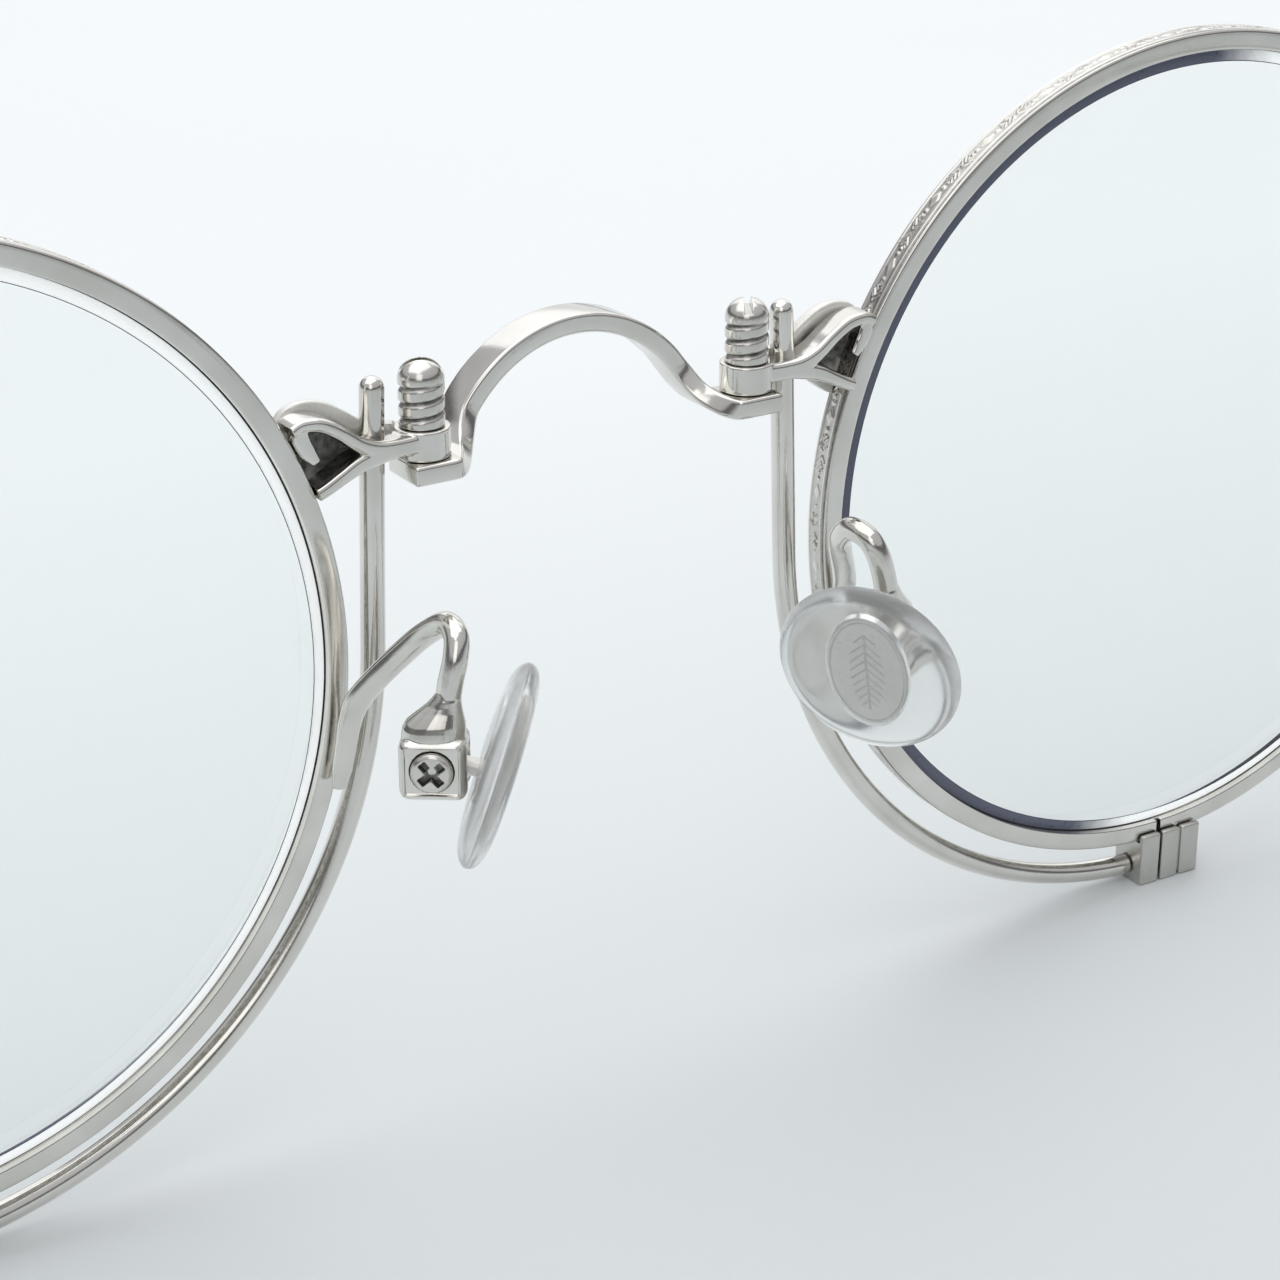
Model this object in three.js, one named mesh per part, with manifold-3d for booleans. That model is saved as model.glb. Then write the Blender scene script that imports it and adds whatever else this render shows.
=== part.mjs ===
// Round wire eyeglasses: a bridge screwed between two round rims, with open side wires,
// wobbling nose pads and folding temples.
//
// Millimetres, +Z up. The wearer looks along -Y, so the front of the glasses faces -Y and the
// temples run back along +Y. +X is the wearer's left. The glasses stand on their rim blocks and
// temple tips at z = 0, and the origin is under the middle of their box.

import * as THREE from 'three';
import { mergeVertices } from 'three/addons/utils/BufferGeometryUtils.js';
import Module from 'manifold-3d';

const wasm = await Module();
wasm.setup();

// ---------------------------------------------------------------- driving dimensions (mm)

const lensCentreHeight = 25.4;
const halfLensDistance = 36.05;
const wrapAngle = THREE.MathUtils.degToRad(1.4);
const clearance = 0.12;

const rim = { outer: 22.8, inner: 21.75, groove: 22.3, depth: 1.53, segments: 48 };
const lens = { shoulder: 21.55, bevel: 22.0, thickness: 1.6, rear: -0.3, curve: 130, rings: 2 };

const bridge = {
  arch: { centreZ: 4.76, halfWidth: 7.7, height: 8.47, thickness: 0.98, rear: -2.16, depth: 2.05 },
  lug: { bottom: 7.35, top: 8.3, end: 10.0, start: 7.7, rear: 0.35, depth: 2.8 },
};
const screwAxis = { x: 8.85, y: -1.2 };
const boss = { radius: 1.32, bottom: 8.42, top: 9.75, bore: 0.75 };
const bridgeScrew = { shank: 0.62, crest: 1.07, root: 0.86, top: 12.9, slot: 0.42, slotDepth: 0.65 };
const fork = { rear: -0.1, depth: 1.58, bottom: 8.72, top: 9.65 };
const shield = { rear: -1.8, depth: 0.6 };

const sideWire = { radius: 0.58, path: 24.55, depth: -1.0, leaveAngle: 1.9, top: 11.75, steps: 36 };
const block = { width: 4.1, offset: 1.2, bottom: -25.4, top: -22.35, rear: 0.4, depth: 2.4, groove: 0.16 };
const blockScrew = { radius: 0.4, head: 0.7, z: -24.2 };

const padArm = { radius: 0.55, footWidth: 1.4, footDepth: 0.7, steps: 18 };
const padBox = {
  centre: [12.55, 6.0, -3.3], width: 3.0, depth: 2.6, height: 2.9, corner: 0.4,
  turn: THREE.MathUtils.degToRad(34.5), slotWidth: 1.3, wall: 0.55, bore: 0.55,
};
const padScrew = { shank: 0.42, head: 0.92, headDepth: 0.5, crossHalf: 0.2, crossReach: 0.66 };
const nosePad = {
  offset: 2.68, rise: 0.75, lean: THREE.MathUtils.degToRad(18), height: 9.7, width: 9.1, thickness: 1.75,
};
const padCore = { height: 6.6, width: 4.1, thickness: 0.45, stem: 0.45, eye: 0.8, eyeWidth: 0.9 };

const endPiece = {
  height: 8.5, tall: 3.2, thick: 1.6, start: 55, outer: 67.4, bend: 3.4, rear: 7.5, front: -1.1,
};
const hinge = { x: 64.65, y: 7.5, radius: 1.1, knuckle: 1.1, gap: 0.1, bore: 0.62, leafThick: 0.5 };
const hingeScrew = { shank: 0.5, head: 0.85, headHeight: 0.4 };

const temple = {
  front: 7.8, sleeveStart: 84, bendStart: 108, bendRadius: 16, dropAngle: 52, end: -25.4,
  thick: 1.2, tallFront: 2.9, tallRear: 1.5, core: 0.65, sleeve: 1.65, steps: 18,
};

// ---------------------------------------------------------------- materials

function metal(color, roughness) {
  return new THREE.MeshStandardMaterial({ color, roughness, metalness: 1 });
}

function plastic(color, roughness, opacity) {
  return new THREE.MeshStandardMaterial({ color, roughness, metalness: 0, transparent: true, opacity });
}

const polishedTitanium = metal(0xb9b8b2, 0.18);
const brushedTitanium = metal(0xa9a8a1, 0.34);
const screwSteel = metal(0xc4c3bf, 0.24);
const tintedLens = plastic(0xe3eeec, 0.03, 0.25);
const clearSilicone = plastic(0xe6e8e6, 0.12, 0.6);
const smokeAcetate = plastic(0x6f7473, 0.14, 0.85);

// ---------------------------------------------------------------- solids and booleans

function toManifold(geometry) {
  const bare = geometry.clone();
  bare.deleteAttribute('normal');
  bare.deleteAttribute('uv');
  const merged = mergeVertices(bare, 1e-4);
  const vertProperties = new Float32Array(merged.attributes.position.array);
  const triVerts = new Uint32Array(merged.index.array);
  const solid = new wasm.Manifold(new wasm.Mesh({ numProp: 3, vertProperties, triVerts }));
  if (solid.volume() >= 0) return solid;
  triVerts.reverse();
  return new wasm.Manifold(new wasm.Mesh({ numProp: 3, vertProperties, triVerts }));
}

function toGeometry(solid) {
  const mesh = solid.getMesh();
  const geometry = new THREE.BufferGeometry();
  geometry.setAttribute('position', new THREE.BufferAttribute(new Float32Array(mesh.vertProperties), 3));
  geometry.setIndex(new THREE.BufferAttribute(new Uint32Array(mesh.triVerts), 1));
  geometry.computeVertexNormals();
  return geometry;
}

function join(...geometries) {
  return toGeometry(geometries.map(toManifold).reduce((all, next) => all.add(next)));
}

function cut(geometry, ...tools) {
  return toGeometry(tools.map(toManifold).reduce((rest, tool) => rest.subtract(tool), toManifold(geometry)));
}

function named(name, geometry, material, parent) {
  const mesh = new THREE.Mesh(geometry, material);
  mesh.name = name;
  parent.add(mesh);
  return mesh;
}

// ---------------------------------------------------------------- shape helpers

// A shape drawn in front view (x, z) and thickened from its rear face at y = rear towards the front.
function frontPlate(shape, rear, depth, curveSegments = 6) {
  const plate = new THREE.ExtrudeGeometry(shape, { depth, bevelEnabled: false, curveSegments });
  plate.rotateX(Math.PI / 2);
  plate.translate(0, rear, 0);
  return plate;
}

// A shape drawn in plan (x, y) and raised from z = bottom.
function raised(shape, bottom, height, curveSegments = 6) {
  const solid = new THREE.ExtrudeGeometry(shape, { depth: height, bevelEnabled: false, curveSegments });
  solid.translate(0, 0, bottom);
  return solid;
}

function roundedBox(width, depth, height, corner) {
  const shape = new THREE.Shape();
  const w = width / 2;
  const h = height / 2;
  shape.moveTo(-w + corner, -h);
  shape.lineTo(w - corner, -h);
  shape.quadraticCurveTo(w, -h, w, -h + corner);
  shape.lineTo(w, h - corner);
  shape.quadraticCurveTo(w, h, w - corner, h);
  shape.lineTo(-w + corner, h);
  shape.quadraticCurveTo(-w, h, -w, h - corner);
  shape.lineTo(-w, -h + corner);
  shape.quadraticCurveTo(-w, -h, -w + corner, -h);
  return frontPlate(shape, depth / 2, depth, 3);
}

function box(x0, x1, y0, y1, z0, z1) {
  const solid = new THREE.BoxGeometry(Math.abs(x1 - x0), y1 - y0, z1 - z0);
  solid.translate((x0 + x1) / 2, (y0 + y1) / 2, (z0 + z1) / 2);
  return solid;
}

function rod(curve, radius, steps, sides = 10) {
  const section = new THREE.Shape();
  section.absarc(0, 0, radius, 0, 2 * Math.PI);
  return new THREE.ExtrudeGeometry(section, {
    extrudePath: curve, steps, curveSegments: sides / 2, bevelEnabled: false,
  });
}

// A round pin along Z from z0 to z1.
function pinZ(radius, x, y, z0, z1, sides = 20) {
  const pin = new THREE.CylinderGeometry(radius, radius, z1 - z0, sides);
  pin.rotateX(Math.PI / 2);
  pin.translate(x, y, (z0 + z1) / 2);
  return pin;
}

// A round pin along Y, the direction of the lens axes.
function pinY(radius, x, z, y0, y1, sides = 20) {
  const pin = new THREE.CylinderGeometry(radius, radius, y1 - y0, sides);
  pin.translate(x, (y0 + y1) / 2, z);
  return pin;
}

function pinX(radius, y, z, x0, x1, sides = 16) {
  const pin = new THREE.CylinderGeometry(radius, radius, Math.abs(x1 - x0), sides);
  pin.rotateZ(Math.PI / 2);
  pin.translate((x0 + x1) / 2, y, z);
  return pin;
}

// A straight strap with round ends in front view, from one point to another.
function strap(from, to, width, rear, depth) {
  const along = new THREE.Vector2(to[0] - from[0], to[1] - from[1]);
  const half = width / 2;
  const shape = new THREE.Shape();
  const angle = along.angle();
  shape.absarc(0, 0, half, Math.PI / 2, Math.PI * 1.5, false);
  shape.absarc(along.length(), 0, half, -Math.PI / 2, Math.PI / 2, false);
  const plate = frontPlate(shape, rear, depth, 5);
  plate.rotateY(-angle);
  plate.translate(from[0], 0, from[1]);
  return plate;
}

// The space of a lens and its rim, cut out of whatever is soldered to the rim's outside.
function rimSpace(sign) {
  const space = pinY(rim.outer + clearance, 0, 0, -rim.depth - clearance, 1, 120);
  space.rotateZ(sign * wrapAngle);
  space.translate(sign * halfLensDistance, 0, 0);
  return space;
}

// ---------------------------------------------------------------- rims and lenses

function rimGeometry() {
  const { outer, inner, groove, depth } = rim;
  const lip = depth * 0.26;
  const profile = [
    [outer, 0], [inner, 0], [inner, -lip], [groove, -depth / 2], [inner, lip - depth],
    [inner, -depth], [outer, -depth], [outer, 0],
  ].map(([r, y]) => new THREE.Vector2(r, y));
  const ring = new THREE.LatheGeometry(profile.reverse(), rim.segments);
  const split = box(-0.15, 0.15, -3, 1, -rim.outer - 1, -rim.inner + 1);
  return { ring, split };
}

function splitRim(sign) {
  const { ring, split } = rimGeometry();
  split.translate(sign * splitOffset(), 0, 0);
  return cut(ring, split);
}

// The rim opens between the first and second rib of its closing block.
function splitOffset() {
  return block.offset - block.width / 2 + block.width / 3;
}

function lensGeometry() {
  const { shoulder, bevel, thickness, rear, curve, rings } = lens;
  const sag = (r) => curve - Math.sqrt(curve * curve - r * r);
  const bulge = (r) => sag(r) - sag(shoulder);
  const front = rear - thickness;
  const seat = -rim.depth / 2;
  const rearArc = [];
  const frontArc = [];
  for (let i = 0; i <= rings; i += 1) {
    const r = (shoulder * i) / rings;
    rearArc.push(new THREE.Vector2(r, rear + bulge(r)));
    frontArc.unshift(new THREE.Vector2(r, front + bulge(r)));
  }
  const edge = [
    new THREE.Vector2(shoulder, seat + 0.35),
    new THREE.Vector2(bevel, seat),
    new THREE.Vector2(shoulder, seat - 0.35),
  ];
  return new THREE.LatheGeometry([...rearArc, ...edge, ...frontArc].reverse(), rim.segments);
}

// ---------------------------------------------------------------- closing block under each rim

function blockHalf(sign, from, to) {
  const { bottom, top, rear, depth, groove, width } = block;
  const body = box(sign * from, sign * to, rear - depth, rear, bottom, top);
  const tools = [
    pinY(rim.outer + clearance, 0, 0, -rim.depth - clearance, clearance, 120),
    pinX(
      blockScrew.radius + clearance, rear - depth / 2, blockScrew.z, sign * (from - 0.5), sign * (to + 0.5)),
  ];
  const rib = width / 3;
  const grooveX = block.offset - width / 2 + 2 * rib;
  if (from < grooveX && to > grooveX + groove) {
    const notch = [sign * grooveX, sign * (grooveX + groove)];
    tools.push(box(...notch, rear - groove, rear + 1, bottom - 1, top + 1));
  }
  return cut(body, ...tools);
}

function addBlock(side, sign, group) {
  const start = block.offset - block.width / 2;
  const gap = splitOffset();
  const end = block.offset + block.width / 2;
  named(`rim_block_nasal_${side}`, blockHalf(sign, start, gap - 0.08), polishedTitanium, group);
  named(`rim_block_temporal_${side}`, blockHalf(sign, gap + 0.08, end), polishedTitanium, group);
  const y = block.rear - block.depth / 2;
  const shank = pinX(blockScrew.radius, y, blockScrew.z, sign * (start + 0.1), sign * (end + 0.12));
  const head = pinX(blockScrew.head, y, blockScrew.z, sign * (end + 0.1), sign * (end + 0.5));
  const slot = box(
    sign * (end + 0.3), sign * (end + 0.9), y - 0.1, y + 0.1, blockScrew.z - 1, blockScrew.z + 1);
  named(`rim_block_screw_${side}`, cut(join(shank, head), slot), screwSteel, group);
}

// ---------------------------------------------------------------- side wire

// Round the nasal side of the rim from the block, then straight up past the bracket.
function sideWirePath(sign) {
  const { path, depth, leaveAngle, top } = sideWire;
  const leave = THREE.MathUtils.degToRad(leaveAngle);
  const blockEnd = block.offset - block.width / 2 - clearance;
  const start = Math.asin(-blockEnd / path);
  const points = [];
  const arcSteps = 16;
  for (let i = 0; i <= arcSteps; i += 1) {
    const turn = start + ((Math.PI / 2 - leave - start) * i) / arcSteps;
    points.push(new THREE.Vector3(-sign * path * Math.sin(turn), depth, -path * Math.cos(turn)));
  }
  const last = points[points.length - 1];
  for (const height of [3, 6, 9, top]) {
    const inward = (height - last.z) * Math.tan(leave);
    points.push(new THREE.Vector3(last.x - sign * inward, depth, height));
  }
  return new THREE.CatmullRomCurve3(points);
}

function sideWireGeometry(sign) {
  const path = sideWirePath(sign);
  const top = path.getPoint(1);
  const cap = new THREE.SphereGeometry(sideWire.radius, 8, 6);
  cap.rotateX(Math.PI / 2);
  cap.translate(top.x, top.y, top.z);
  return join(rod(path, sideWire.radius, sideWire.steps, 8), cap);
}

// ---------------------------------------------------------------- bridge, screws and brackets

function smoothstep(from, to, value) {
  const t = THREE.MathUtils.clamp((value - from) / (to - from), 0, 1);
  return t * t * (3 - 2 * t);
}

// The arch stands forward of its two lugs, so the flat strip is pushed forward between them.
function bendForward(geometry) {
  const { arch, lug } = bridge;
  const position = geometry.attributes.position;
  for (let i = 0; i < position.count; i += 1) {
    const t = smoothstep(5.6, lug.start + 0.1, Math.abs(position.getX(i)));
    const rear = THREE.MathUtils.lerp(arch.rear, lug.rear, t);
    const depth = THREE.MathUtils.lerp(arch.depth, lug.depth, t);
    position.setY(i, rear + position.getY(i) * depth);
  }
  return geometry;
}

function bridgeGeometry() {
  const { arch, lug } = bridge;
  const inside = { halfWidth: arch.halfWidth - arch.thickness, height: arch.height - arch.thickness };
  const angleAt = (height, z) => Math.asin((z - arch.centreZ) / height);
  const outerAngle = angleAt(arch.height, 9.4);
  const innerAngle = angleAt(inside.height, 8.7);
  const shape = new THREE.Shape();
  shape.moveTo(-lug.end, lug.top);
  shape.lineTo(-lug.start, lug.top);
  shape.quadraticCurveTo(-6.9, lug.top, -arch.halfWidth * Math.cos(outerAngle), 9.4);
  shape.absellipse(0, arch.centreZ, arch.halfWidth, arch.height, Math.PI - outerAngle, outerAngle, true);
  shape.quadraticCurveTo(6.9, lug.top, lug.start, lug.top);
  shape.lineTo(lug.end, lug.top);
  shape.lineTo(lug.end, lug.bottom);
  shape.lineTo(lug.start - 0.5, lug.bottom);
  shape.quadraticCurveTo(6.1, lug.bottom, inside.halfWidth * Math.cos(innerAngle), 8.7);
  shape.absellipse(
    0, arch.centreZ, inside.halfWidth, inside.height, innerAngle, Math.PI - innerAngle, false);
  shape.quadraticCurveTo(-6.1, lug.bottom, -lug.start + 0.5, lug.bottom);
  shape.lineTo(-lug.end, lug.bottom);
  const strip = bendForward(frontPlate(shape, 0, 1, 9));
  const bores = [-1, 1].map((sign) => pinZ(boss.bore, sign * screwAxis.x, screwAxis.y, 5, 10));
  return cut(strip, ...bores);
}

// A screw whose rounded, slotted end stands well above its eye, with coarse round thread crests.
function bridgeScrewGeometry(sign) {
  const { shank, crest, root, top, slot, slotDepth } = bridgeScrew;
  const base = boss.top + clearance;
  const domeStart = top - 0.95;
  const pitch = 0.62;
  const profile = [[0, bridge.lug.bottom], [shank, bridge.lug.bottom], [shank, base], [crest, base]];
  for (let z = base + 0.25; z < domeStart - pitch; z += pitch) {
    profile.push([crest, z], [root, z + pitch * 0.4], [crest, z + pitch * 0.8]);
  }
  profile.push([crest, domeStart]);
  for (let i = 1; i <= 5; i += 1) {
    const turn = (i / 5) * (Math.PI / 2);
    profile.push([i === 5 ? 0 : crest * Math.cos(turn), domeStart + (top - domeStart) * Math.sin(turn)]);
  }
  const points = profile.map(([r, z]) => new THREE.Vector2(r, z));
  const screw = new THREE.LatheGeometry(points, 16);
  screw.rotateX(Math.PI / 2);
  const slotCut = box(-slot / 2, slot / 2, -2, 2, top - slotDepth, top + 1);
  slotCut.rotateZ(sign > 0 ? 0.35 : -0.5);
  const slotted = cut(screw, slotCut);
  slotted.translate(sign * screwAxis.x, screwAxis.y, 0);
  return slotted;
}

// The rear face of the bracket: a bar from the eye that opens into two legs round a hollow.
function forkOutline(sign) {
  const shape = new THREE.Shape();
  shape.moveTo(sign * 9.2, fork.top);
  shape.lineTo(sign * 11.0, fork.top);
  shape.bezierCurveTo(sign * 12.4, 9.75, sign * 13.2, 11.35, sign * 15.4, 11.45);
  shape.lineTo(sign * 16.6, 10.6);
  shape.lineTo(sign * 15.4, 7.2);
  shape.lineTo(sign * 14.3, 7.45);
  shape.quadraticCurveTo(sign * 12.8, 8.3, sign * 11.2, fork.bottom);
  shape.lineTo(sign * 9.2, fork.bottom);
  const hollow = new THREE.Path();
  hollow.moveTo(sign * 12.5, 9.35);
  hollow.quadraticCurveTo(sign * 13.4, 10.5, sign * 14.9, 10.75);
  hollow.lineTo(sign * 17.5, 9.6);
  hollow.lineTo(sign * 14.6, 8.0);
  hollow.quadraticCurveTo(sign * 13.2, 8.7, sign * 12.5, 9.35);
  return { shape, hollow };
}

// The bracket: the eye round the screw and the fork, bored for the side wire.
function forkGeometry(sign) {
  const { rear, depth } = fork;
  const { shape, hollow } = forkOutline(sign);
  const eye = pinZ(boss.radius, sign * screwAxis.x, screwAxis.y, boss.bottom, boss.top, 28);
  const opening = frontPlate(new THREE.Shape(hollow.getPoints(5)), rear + 1, depth + 2);
  const bore = pinZ(boss.bore, sign * screwAxis.x, screwAxis.y, 5, 12);
  return cut(join(eye, frontPlate(shape, rear, depth)), opening, bore, wireSpace(sign), rimSpace(sign));
}

// The round hole for the side wire, a little wider than the wire.
function wireSpace(sign) {
  const space = rod(sideWirePath(sign), sideWire.radius + clearance, sideWire.steps, 12);
  space.rotateZ(sign * wrapAngle);
  space.translate(sign * halfLensDistance, 0, 0);
  return space;
}

// The smooth plate in front of the side wire, from the eye to the front of the rim.
function shieldGeometry(sign) {
  const shape = new THREE.Shape();
  shape.moveTo(sign * 8.4, 9.75);
  shape.lineTo(sign * 10.6, 9.95);
  shape.bezierCurveTo(sign * 12.0, 10.1, sign * 12.6, 11.65, sign * 14.4, 11.65);
  shape.bezierCurveTo(sign * 16.0, 11.65, sign * 16.15, 10.4, sign * 16.0, 9.0);
  shape.bezierCurveTo(sign * 15.9, 7.4, sign * 15.6, 6.7, sign * 14.8, 6.75);
  shape.bezierCurveTo(sign * 13.3, 6.9, sign * 12.6, 8.3, sign * 11.0, 8.6);
  shape.lineTo(sign * 8.4, 8.7);
  const plate = frontPlate(shape, shield.rear, shield.depth, 5);
  const eyeSpace = pinZ(boss.radius + clearance, sign * screwAxis.x, screwAxis.y, 5, 12, 28);
  return cut(plate, eyeSpace, wireSpace(sign), rimSpace(sign));
}

// ---------------------------------------------------------------- nose pads

function padArmPath(sign) {
  const points = [
    [13.76, 0.0, -3.4], [13.6, 0.75, -1.9], [12.95, 1.5, -0.6], [12.0, 2.4, 0.8], [11.35, 3.4, 1.85],
    [11.05, 4.75, 2.6], [11.2, 5.95, 2.4], [11.6, 6.35, 1.3], [12.0, 6.35, 0.0], [12.5, 6.1, -2.2],
  ];
  return new THREE.CatmullRomCurve3(points.map(([x, y, z]) => new THREE.Vector3(sign * x, y, z)));
}

function placeAtPadBox(geometry, sign) {
  const [x, y, z] = padBox.centre;
  geometry.rotateZ(-sign * padBox.turn);
  geometry.translate(sign * x, y, z);
  return geometry;
}

function padArmGeometry(sign) {
  const { width, depth, height, corner, slotWidth, wall, bore } = padBox;
  const foot = strap([sign * 14.3, -6.4], [sign * 13.75, -3.4], padArm.footWidth, 0.3, padArm.footDepth);
  const wire = rod(padArmPath(sign), padArm.radius, padArm.steps, 8);
  const shell = placeAtPadBox(roundedBox(width, depth, height, corner), sign);
  const slot = placeAtPadBox(
    box(-sign * 3, sign * (width / 2 - wall), -slotWidth / 2, slotWidth / 2, -3, height / 2 - wall), sign);
  const screwBore = placeAtPadBox(pinY(bore, 0, 0, -3, 3), sign);
  const headSeat = placeAtPadBox(
    pinY(padScrew.head + clearance, 0, 0, depth / 2 - padScrew.headDepth, depth), sign);
  const rimFace = pinY(rim.outer + 0.6, 0, 0, -2, clearance, 96);
  rimFace.rotateZ(sign * wrapAngle);
  rimFace.translate(sign * halfLensDistance, 0, 0);
  return cut(join(foot, wire, shell), slot, screwBore, headSeat, rimFace);
}

function padScrewGeometry(sign) {
  const { depth } = padBox;
  const { shank, head, headDepth, crossHalf, crossReach } = padScrew;
  const face = depth / 2;
  const body = join(
    pinY(shank, 0, 0, -face, face - headDepth + 0.2),
    pinY(head, 0, 0, face - headDepth + clearance, face + 0.1));
  const recess = [
    box(-crossReach, crossReach, face - 0.2, face + 1, -crossHalf, crossHalf),
    box(-crossHalf, crossHalf, face - 0.2, face + 1, -crossReach, crossReach),
  ];
  recess.forEach((tool) => tool.rotateY(0.7));
  return placeAtPadBox(cut(body, ...recess), sign);
}

// The pad's own frame: its middle at the origin, its contact face towards -X on the left side.
function placeAtPad(geometry, sign) {
  geometry.rotateY(-sign * nosePad.lean);
  return placeAtPadBox(geometry, sign);
}

function siliconeDisc(sign) {
  const { height, width, thickness, offset, rise } = nosePad;
  const half = thickness / 2;
  const profile = [[0, -half * 0.9], [0.55, -half * 0.9], [0.86, -half * 0.62], [1, 0], [0.86, half * 0.72],
    [0.55, half * 0.96], [0, half]];
  const disc = new THREE.LatheGeometry(profile.map(([r, h]) => new THREE.Vector2(r, h)), 32);
  disc.scale(width / 2, 1, height / 2);
  disc.rotateZ(sign * Math.PI / 2);
  disc.translate(-sign * offset, 0, rise);
  return disc;
}

// The oval metal plate inside the pad, with its stem and the eye that the pad screw holds.
function padCoreGeometry(sign, grow) {
  const { height, width, thickness, stem, eye, eyeWidth } = padCore;
  const plate = pinX(1, 0, 0, -thickness / 2 - grow, thickness / 2 + grow, 28);
  plate.scale(1, width / 2 + grow, height / 2 + grow);
  plate.translate(-sign * nosePad.offset, 0, nosePad.rise);
  const shaft = pinX(stem + grow, 0, 0, -sign * nosePad.offset, -sign * 0.3, 12);
  if (grow > 0) return join(plate, shaft);
  const ring = pinY(eye, 0, 0, -eyeWidth / 2, eyeWidth / 2);
  const bore = pinY(padBox.bore, 0, 0, -2, 2);
  return cut(join(plate, shaft, ring), bore);
}

function addNosePad(side, sign, group) {
  const silicone = cut(siliconeDisc(sign), padCoreGeometry(sign, 0.15));
  named(`nose_pad_${side}`, placeAtPad(silicone, sign), clearSilicone, group);
  named(`pad_core_${side}`, placeAtPad(padCoreGeometry(sign, 0), sign), brushedTitanium, group);
}

// ---------------------------------------------------------------- end pieces and hinges

function endPieceGeometry(sign) {
  const { height, tall, thick, outer, bend, rear, front, start } = endPiece;
  const inner = outer - thick;
  const shape = new THREE.Shape();
  shape.moveTo(sign * start, front);
  shape.lineTo(sign * (outer - bend), front);
  shape.quadraticCurveTo(sign * outer, front, sign * outer, front + bend);
  shape.lineTo(sign * outer, rear);
  shape.lineTo(sign * inner, rear);
  shape.lineTo(sign * inner, front + bend);
  shape.quadraticCurveTo(sign * inner, front + thick, sign * (outer - bend), front + thick);
  shape.lineTo(sign * start, front + thick);
  const bar = raised(shape, height - tall / 2, tall, 5);
  return cut(bar, rimSpace(sign));
}

function knuckleHeights() {
  const { knuckle, gap } = hinge;
  const middle = knuckle / 2;
  return {
    lower: [-middle - gap - knuckle, -middle - gap],
    centre: [-middle, middle],
    upper: [middle + gap, middle + gap + knuckle],
  };
}

function knuckleRing(sign, [z0, z1]) {
  return pinZ(hinge.radius, sign * hinge.x, hinge.y, endPiece.height + z0, endPiece.height + z1, 24);
}

function hingeBore(sign) {
  return pinZ(hinge.bore, sign * hinge.x, hinge.y, endPiece.height - 4, endPiece.height + 4);
}

function leaf(sign, y0, y1, [z0, z1]) {
  const inner = endPiece.outer - endPiece.thick - clearance;
  const base = endPiece.height;
  return box(sign * (inner - hinge.leafThick), sign * inner, y0, y1, base + z0, base + z1);
}

function hingeFrontGeometry(sign) {
  const { lower, upper } = knuckleHeights();
  const plate = leaf(sign, 3.4, 6.0, [lower[0], upper[1]]);
  const arms = [lower, upper].map((span) => leaf(sign, 5.8, hinge.y, span));
  const rings = [lower, upper].map((span) => knuckleRing(sign, span));
  return cut(join(plate, ...arms, ...rings), hingeBore(sign));
}

function hingeTempleGeometry(sign) {
  const { lower, centre, upper } = knuckleHeights();
  const plate = leaf(sign, 9.2, 12.0, [lower[0] + 0.6, upper[1] - 0.6]);
  const arm = leaf(sign, hinge.y, 9.4, centre);
  return cut(join(plate, arm, knuckleRing(sign, centre)), hingeBore(sign));
}

function hingeScrewGeometry(sign) {
  const { upper, lower } = knuckleHeights();
  const { shank, head, headHeight } = hingeScrew;
  const { x, y } = hinge;
  const top = endPiece.height + upper[1] + clearance;
  const body = join(
    pinZ(shank, sign * x, y, endPiece.height + lower[0] - 0.2, top + 0.1, 16),
    pinZ(head, sign * x, y, top, top + headHeight, 20));
  const slot = box(sign * x - 0.1, sign * x + 0.1, y - 2, y + 2, top + headHeight - 0.2, top + 2);
  return cut(body, slot);
}

// ---------------------------------------------------------------- temples

function templeCentre(sign) {
  return sign * (endPiece.outer - temple.thick / 2 - 0.1);
}

// Straight back, then round the ear and down to the tip, from the given distance behind the front.
function templePath(sign, from, shortBy) {
  const { bendStart, bendRadius, dropAngle, end } = temple;
  const x = templeCentre(sign);
  const z = endPiece.height;
  const drop = THREE.MathUtils.degToRad(dropAngle);
  const points = [new THREE.Vector3(x, from, z), new THREE.Vector3(x, (from + bendStart) / 2, z)];
  const arcSteps = 6;
  for (let i = 0; i <= arcSteps; i += 1) {
    const turn = (drop * i) / arcSteps;
    points.push(new THREE.Vector3(
      x, bendStart + bendRadius * Math.sin(turn), z - bendRadius * (1 - Math.cos(turn))));
  }
  const bendEnd = points[points.length - 1];
  const tipRadius = temple.sleeve * Math.cos(drop);
  const length = (bendEnd.z - end - tipRadius) / Math.sin(drop) - shortBy;
  for (const share of [0.5, 1]) {
    const run = length * share;
    points.push(new THREE.Vector3(x, bendEnd.y + run * Math.cos(drop), bendEnd.z - run * Math.sin(drop)));
  }
  return new THREE.CatmullRomCurve3(points);
}

function templeGeometry(sign) {
  const { front, sleeveStart, thick, tallFront, tallRear, core, steps } = temple;
  const z = endPiece.height;
  const shape = new THREE.Shape();
  shape.moveTo(front, z - tallFront / 2);
  shape.lineTo(sleeveStart - 0.4, z - tallRear / 2);
  shape.lineTo(sleeveStart - 0.4, z + tallRear / 2);
  shape.lineTo(front, z + tallFront / 2);
  const bar = new THREE.ExtrudeGeometry(shape, { depth: thick, bevelEnabled: false });
  const sideways = new THREE.Matrix4().set(0, 0, 1, 0, 1, 0, 0, 0, 0, 1, 0, 0, 0, 0, 0, 1);
  bar.applyMatrix4(sideways);
  bar.translate(templeCentre(sign) - thick / 2, 0, 0);
  const wire = rod(templePath(sign, sleeveStart - 2, 5), core, steps, 8);
  return join(bar, wire);
}

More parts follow.
